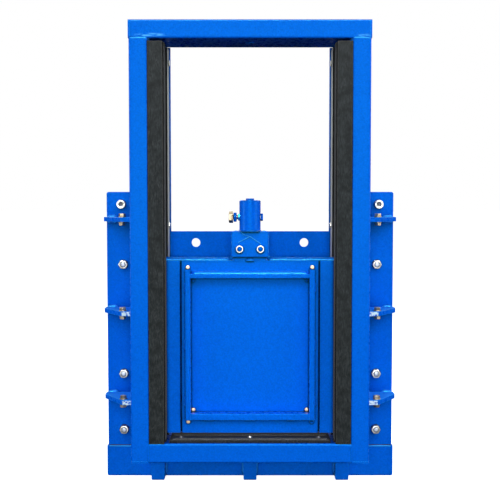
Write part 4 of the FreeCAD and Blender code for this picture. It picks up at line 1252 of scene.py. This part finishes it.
# %% [markdown]
# ### Welds at the sill
#
# The foot ribs have a bead down each side. Where a side plate meets the sill plate, a flat bead was
# laid on the seam, and a thin black rubber bead above it is a painted shade line along the seam.
# One more bead runs below the bottom beam.

# %% Sill welds
runs = []
for low, high in solids_of("foot_ribs"):
    for x, out in ((low.x, LEFT), (high.x, RIGHT)):
        runs.append(run((x, high.y, low.z + 6 * MM), (x, high.y, high.z), out, OUTWARDS, 3.4 * MM))
weld("foot_rib_welds", "frame", *runs)
for name, sign, out in BOTH_SIDES:
    low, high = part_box(name + "_wall_flange")
    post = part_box(name + "_post")
    start = (low.x if sign < 0 else high.x) - sign * 1 * MM
    end = post[0].x if sign < 0 else post[1].x
    seam_z, gap_z = low.z - 1.6 * MM, low.z + 0.9 * MM
    weld(name + "_sill_seam_weld", "frame",
         run((start, FLANGE_FACE, seam_z), (end, FLANGE_FACE, seam_z), UP, OUTWARDS, 1.5 * MM,
             lift=0.9, lumpy=0.08, **SEAM))
    # Painted shade: a thin black rubber bead above the seam stands for its shade line.
    shape = bmesh.new()
    bead(shape, line_frames((start, FLANGE_FACE, gap_z), (end, FLANGE_FACE, gap_z), UP, OUTWARDS),
         1.1 * MM, lumpy=0.2, lift=0.25, **SEAM)
    finish_piece(name + "_sill_seam_shade_line", shape, [black_rubber], "frame")
ribs = solids_of("foot_ribs")
runs = []
for left, right in zip(ribs, ribs[1:]):
    start, end = left[1].x + 4 * MM, right[0].x - 4 * MM
    runs.append(run((start, FLANGE_FACE, 0), (end, FLANGE_FACE, 0), DOWN, OUTWARDS, 4.5 * MM))
weld("bottom_beam_weld", "frame", *runs)

# %% [markdown]
# ### Welds of the leaf
#
# The thick face frame stops a little below the top of the leaf plate, and a rough bead lies in
# that step. A bead lies along the top of the upper rib too, and small tacks hold the ribs' sides.

# %% Leaf welds
face_low, face_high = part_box("leaf_face_frame")
bar_low, bar_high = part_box("left_edge_bar")
STEP_BEAD = 6.0 * MM
HOIST_HALF = 42 * MM            # the step's bead stops beside the hoist
TACK = 3.2 * MM
runs = []
step_end = bar_low.x + 6 * MM
for start, end in ((step_end, -HOIST_HALF), (HOIST_HALF, -step_end)):
    runs.append(run((start, face_high.y, face_high.z), (end, face_high.y, face_high.z), OUTWARDS, UP,
                    STEP_BEAD, lumpy=0.30))
weld("leaf_step_weld", "leaf", *runs, finish=leaf_weld_enamel)

rib_boxes = solids_of("cross_ribs")
side_boxes = solids_of("side_ribs")
top_rib = rib_boxes[-1]
runs = [run((top_rib[0].x + 1 * MM, face_low.y, top_rib[1].z),
            (top_rib[1].x - 1 * MM, face_low.y, top_rib[1].z), OUTWARDS, UP, 6.0 * MM, lumpy=0.12, flat=1.6)]
for low, high in side_boxes:
    x, out = (low.x, LEFT) if low.x < 0 else (high.x, RIGHT)
    for share in (0.12, 0.5, 0.88):
        z = low.z + (high.z - low.z) * share
        runs.append(run((x, face_low.y, z - 12 * MM), (x, face_low.y, z + 12 * MM), out, OUTWARDS, TACK))
low, high = rib_boxes[0]
for share in (0.15, 0.5, 0.85):
    x = low.x + (high.x - low.x) * share
    runs.append(run((x - 14 * MM, face_low.y, low.z), (x + 14 * MM, face_low.y, low.z), OUTWARDS, DOWN, TACK))
weld("leaf_rib_welds", "leaf", *runs, finish=leaf_weld_enamel)

# %% [markdown]
# ### Welds of the hoist
#
# The lug under the bracket is welded to the leaf with a blob that shows below the bracket, and the
# coupling stands in a bead that runs all the way round.

# %% Hoist welds
lug_low, lug_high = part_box("hoist_lug")
runs = [(round_frames((0, axis_y, bracket_high.z), coupling_radius), 2.2 * MM, {"lumpy": 0.35})]
weld("coupling_weld", "leaf", *runs, finish=leaf_enamel)
runs = [run((-9 * MM, lug_low.y, lug_low.z), (9 * MM, lug_low.y, lug_low.z), OUTWARDS, UP, 5.5 * MM,
            lumpy=0.3)]
for x, out in ((lug_low.x, LEFT), (lug_high.x, RIGHT)):
    runs.append(run((x, lug_low.y + 1 * MM, lug_low.z), (x, lug_high.y - 1 * MM, lug_low.z), out, UP,
                    5.0 * MM, lumpy=0.3))
weld("hoist_lug_weld", "leaf", *runs, finish=leaf_weld_enamel)

# %% [markdown]
# ### Marks on the bracket
#
# The welder ran a thin line over the bracket's face, and its edges have small lumps where it was
# tacked. They are thin half-round beads, the first with almost no ripple.

# %% Marks on the bracket
RUN = [(-26.4, -24.6), (0.0, -11.3), (24.2, -27.9)]      # mm from the middle of the top edge
STROKE = [(-19.8, -1.6), (-12.0, -8.5), (0.0, -11.3)]
shape = bmesh.new()
for k, path in enumerate((RUN, STROKE)):
    for (x1, z1), (x2, z2) in zip(path, path[1:]):
        start = (x1 * MM, bracket_low.y + 0.1 * MM, bracket_high.z + z1 * MM)
        end = (x2 * MM, bracket_low.y + 0.1 * MM, bracket_high.z + z2 * MM)
        along = (Vector(end) - Vector(start)).normalized()
        bead(shape, line_frames(start, end, along.cross(BACK), OUTWARDS), (0.75 - 0.25 * k) * MM,
             lumpy=0.05, seed=41 + k, lift=0.8, **SEAM)
finish_piece("bracket_weld_line", shape, [pale_enamel], "leaf")

runs = []
middle_y = (bracket_low.y + bracket_high.y) / 2
front_y, step_y = bracket_low.y + 6 * MM, face_high.y + 4 * MM
for _, sign, out in BOTH_SIDES:
    x = sign * bracket_high.x
    runs.append(run((sign * 36 * MM, middle_y, bracket_high.z), (sign * 26 * MM, middle_y, bracket_high.z),
                    OUTWARDS, UP, 3.0 * MM, lift=0.5, lumpy=0.3, **SEAM))
    for share in (0.12, 0.42, 0.72):
        z = bracket_low.z + (bracket_high.z - bracket_low.z) * share
        runs.append(run((x, front_y, z), (x, front_y, z + 11 * MM), OUTWARDS, out, 2.6 * MM,
                        lift=0.4, lumpy=0.35, **SEAM))
    runs.append(run((x - sign * 1 * MM, step_y, bracket_low.z + 1 * MM),
                    (x + sign * 10 * MM, step_y, face_high.z + 1 * MM), UP, OUTWARDS, 2.0 * MM,
                    lift=0.8, **SEAM))
weld("bracket_tacks", "leaf", *runs)

# %% [markdown]
# ## Sealant in the leaf's seams
#
# A dark cord of sealant was pressed into the two seams of the leaf. It is uneven by hand, so a
# seam bead in rubber, with larger and slower lumps than a weld, replaces the plain strip.

# %% Seam sealant
for k, (low, high) in enumerate(solids_of("seam_strips")):
    x = (low.x + high.x) / 2
    shape = bmesh.new()
    y = low.y + 1.2 * MM
    bead(shape, line_frames((x, y, low.z), (x, y, high.z), RIGHT, OUTWARDS), 2.9 * MM, lumpy=0.30,
         seed=21 + k, lift=0.35, **SEAM)
    name = "%s_seam_sealant" % ("left", "right")[k]
    sealant = finish_piece(name, shape, [green_rubber], "leaf")
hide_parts("seam_strips")

# %% [markdown]
# ## Sill bar
#
# The leaf closes onto a rubber bar that was moulded with ridges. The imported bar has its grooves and
# screw recesses already, so only the soft ridges between them are added, one long bead each. Their
# lumps are much longer than a weld's, because rubber flows instead of freezing in steps.

# %% Sill bar ridges
bar_low, bar_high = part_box("sill_seal")
RIDGES = ((3.0, 1.6), (12.5, 1.3), (41.0, 1.3), (62.0, 1.2))      # mm behind the front, size in mm
for k, (setback, size) in enumerate(RIDGES):
    shape = bmesh.new()
    y = bar_low.y + setback * MM
    frames = line_frames((bar_low.x + 6 * MM, y, bar_high.z), (bar_high.x - 6 * MM, y, bar_high.z), BACK, UP)
    bead(shape, frames, size * MM, lumpy=0.1, seed=31 + k, lift=0.5, **SEAM)
    # Dust and a painted highlight: the ridges are a pale grey.
    finish_piece("sill_bar_ridge_%d" % (k + 1), shape, [dusty_highlit_rubber], "frame")

# %% [markdown]
# ## Sizes
#
# The last cell measures everything that is shown and prints its size in millimetres. Nothing that
# was added is meant to stick out of the solid model.

# %% Print the sizes
low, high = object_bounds()
print("visual size in mm:", [round(a / MM, 1) for a in high - low])
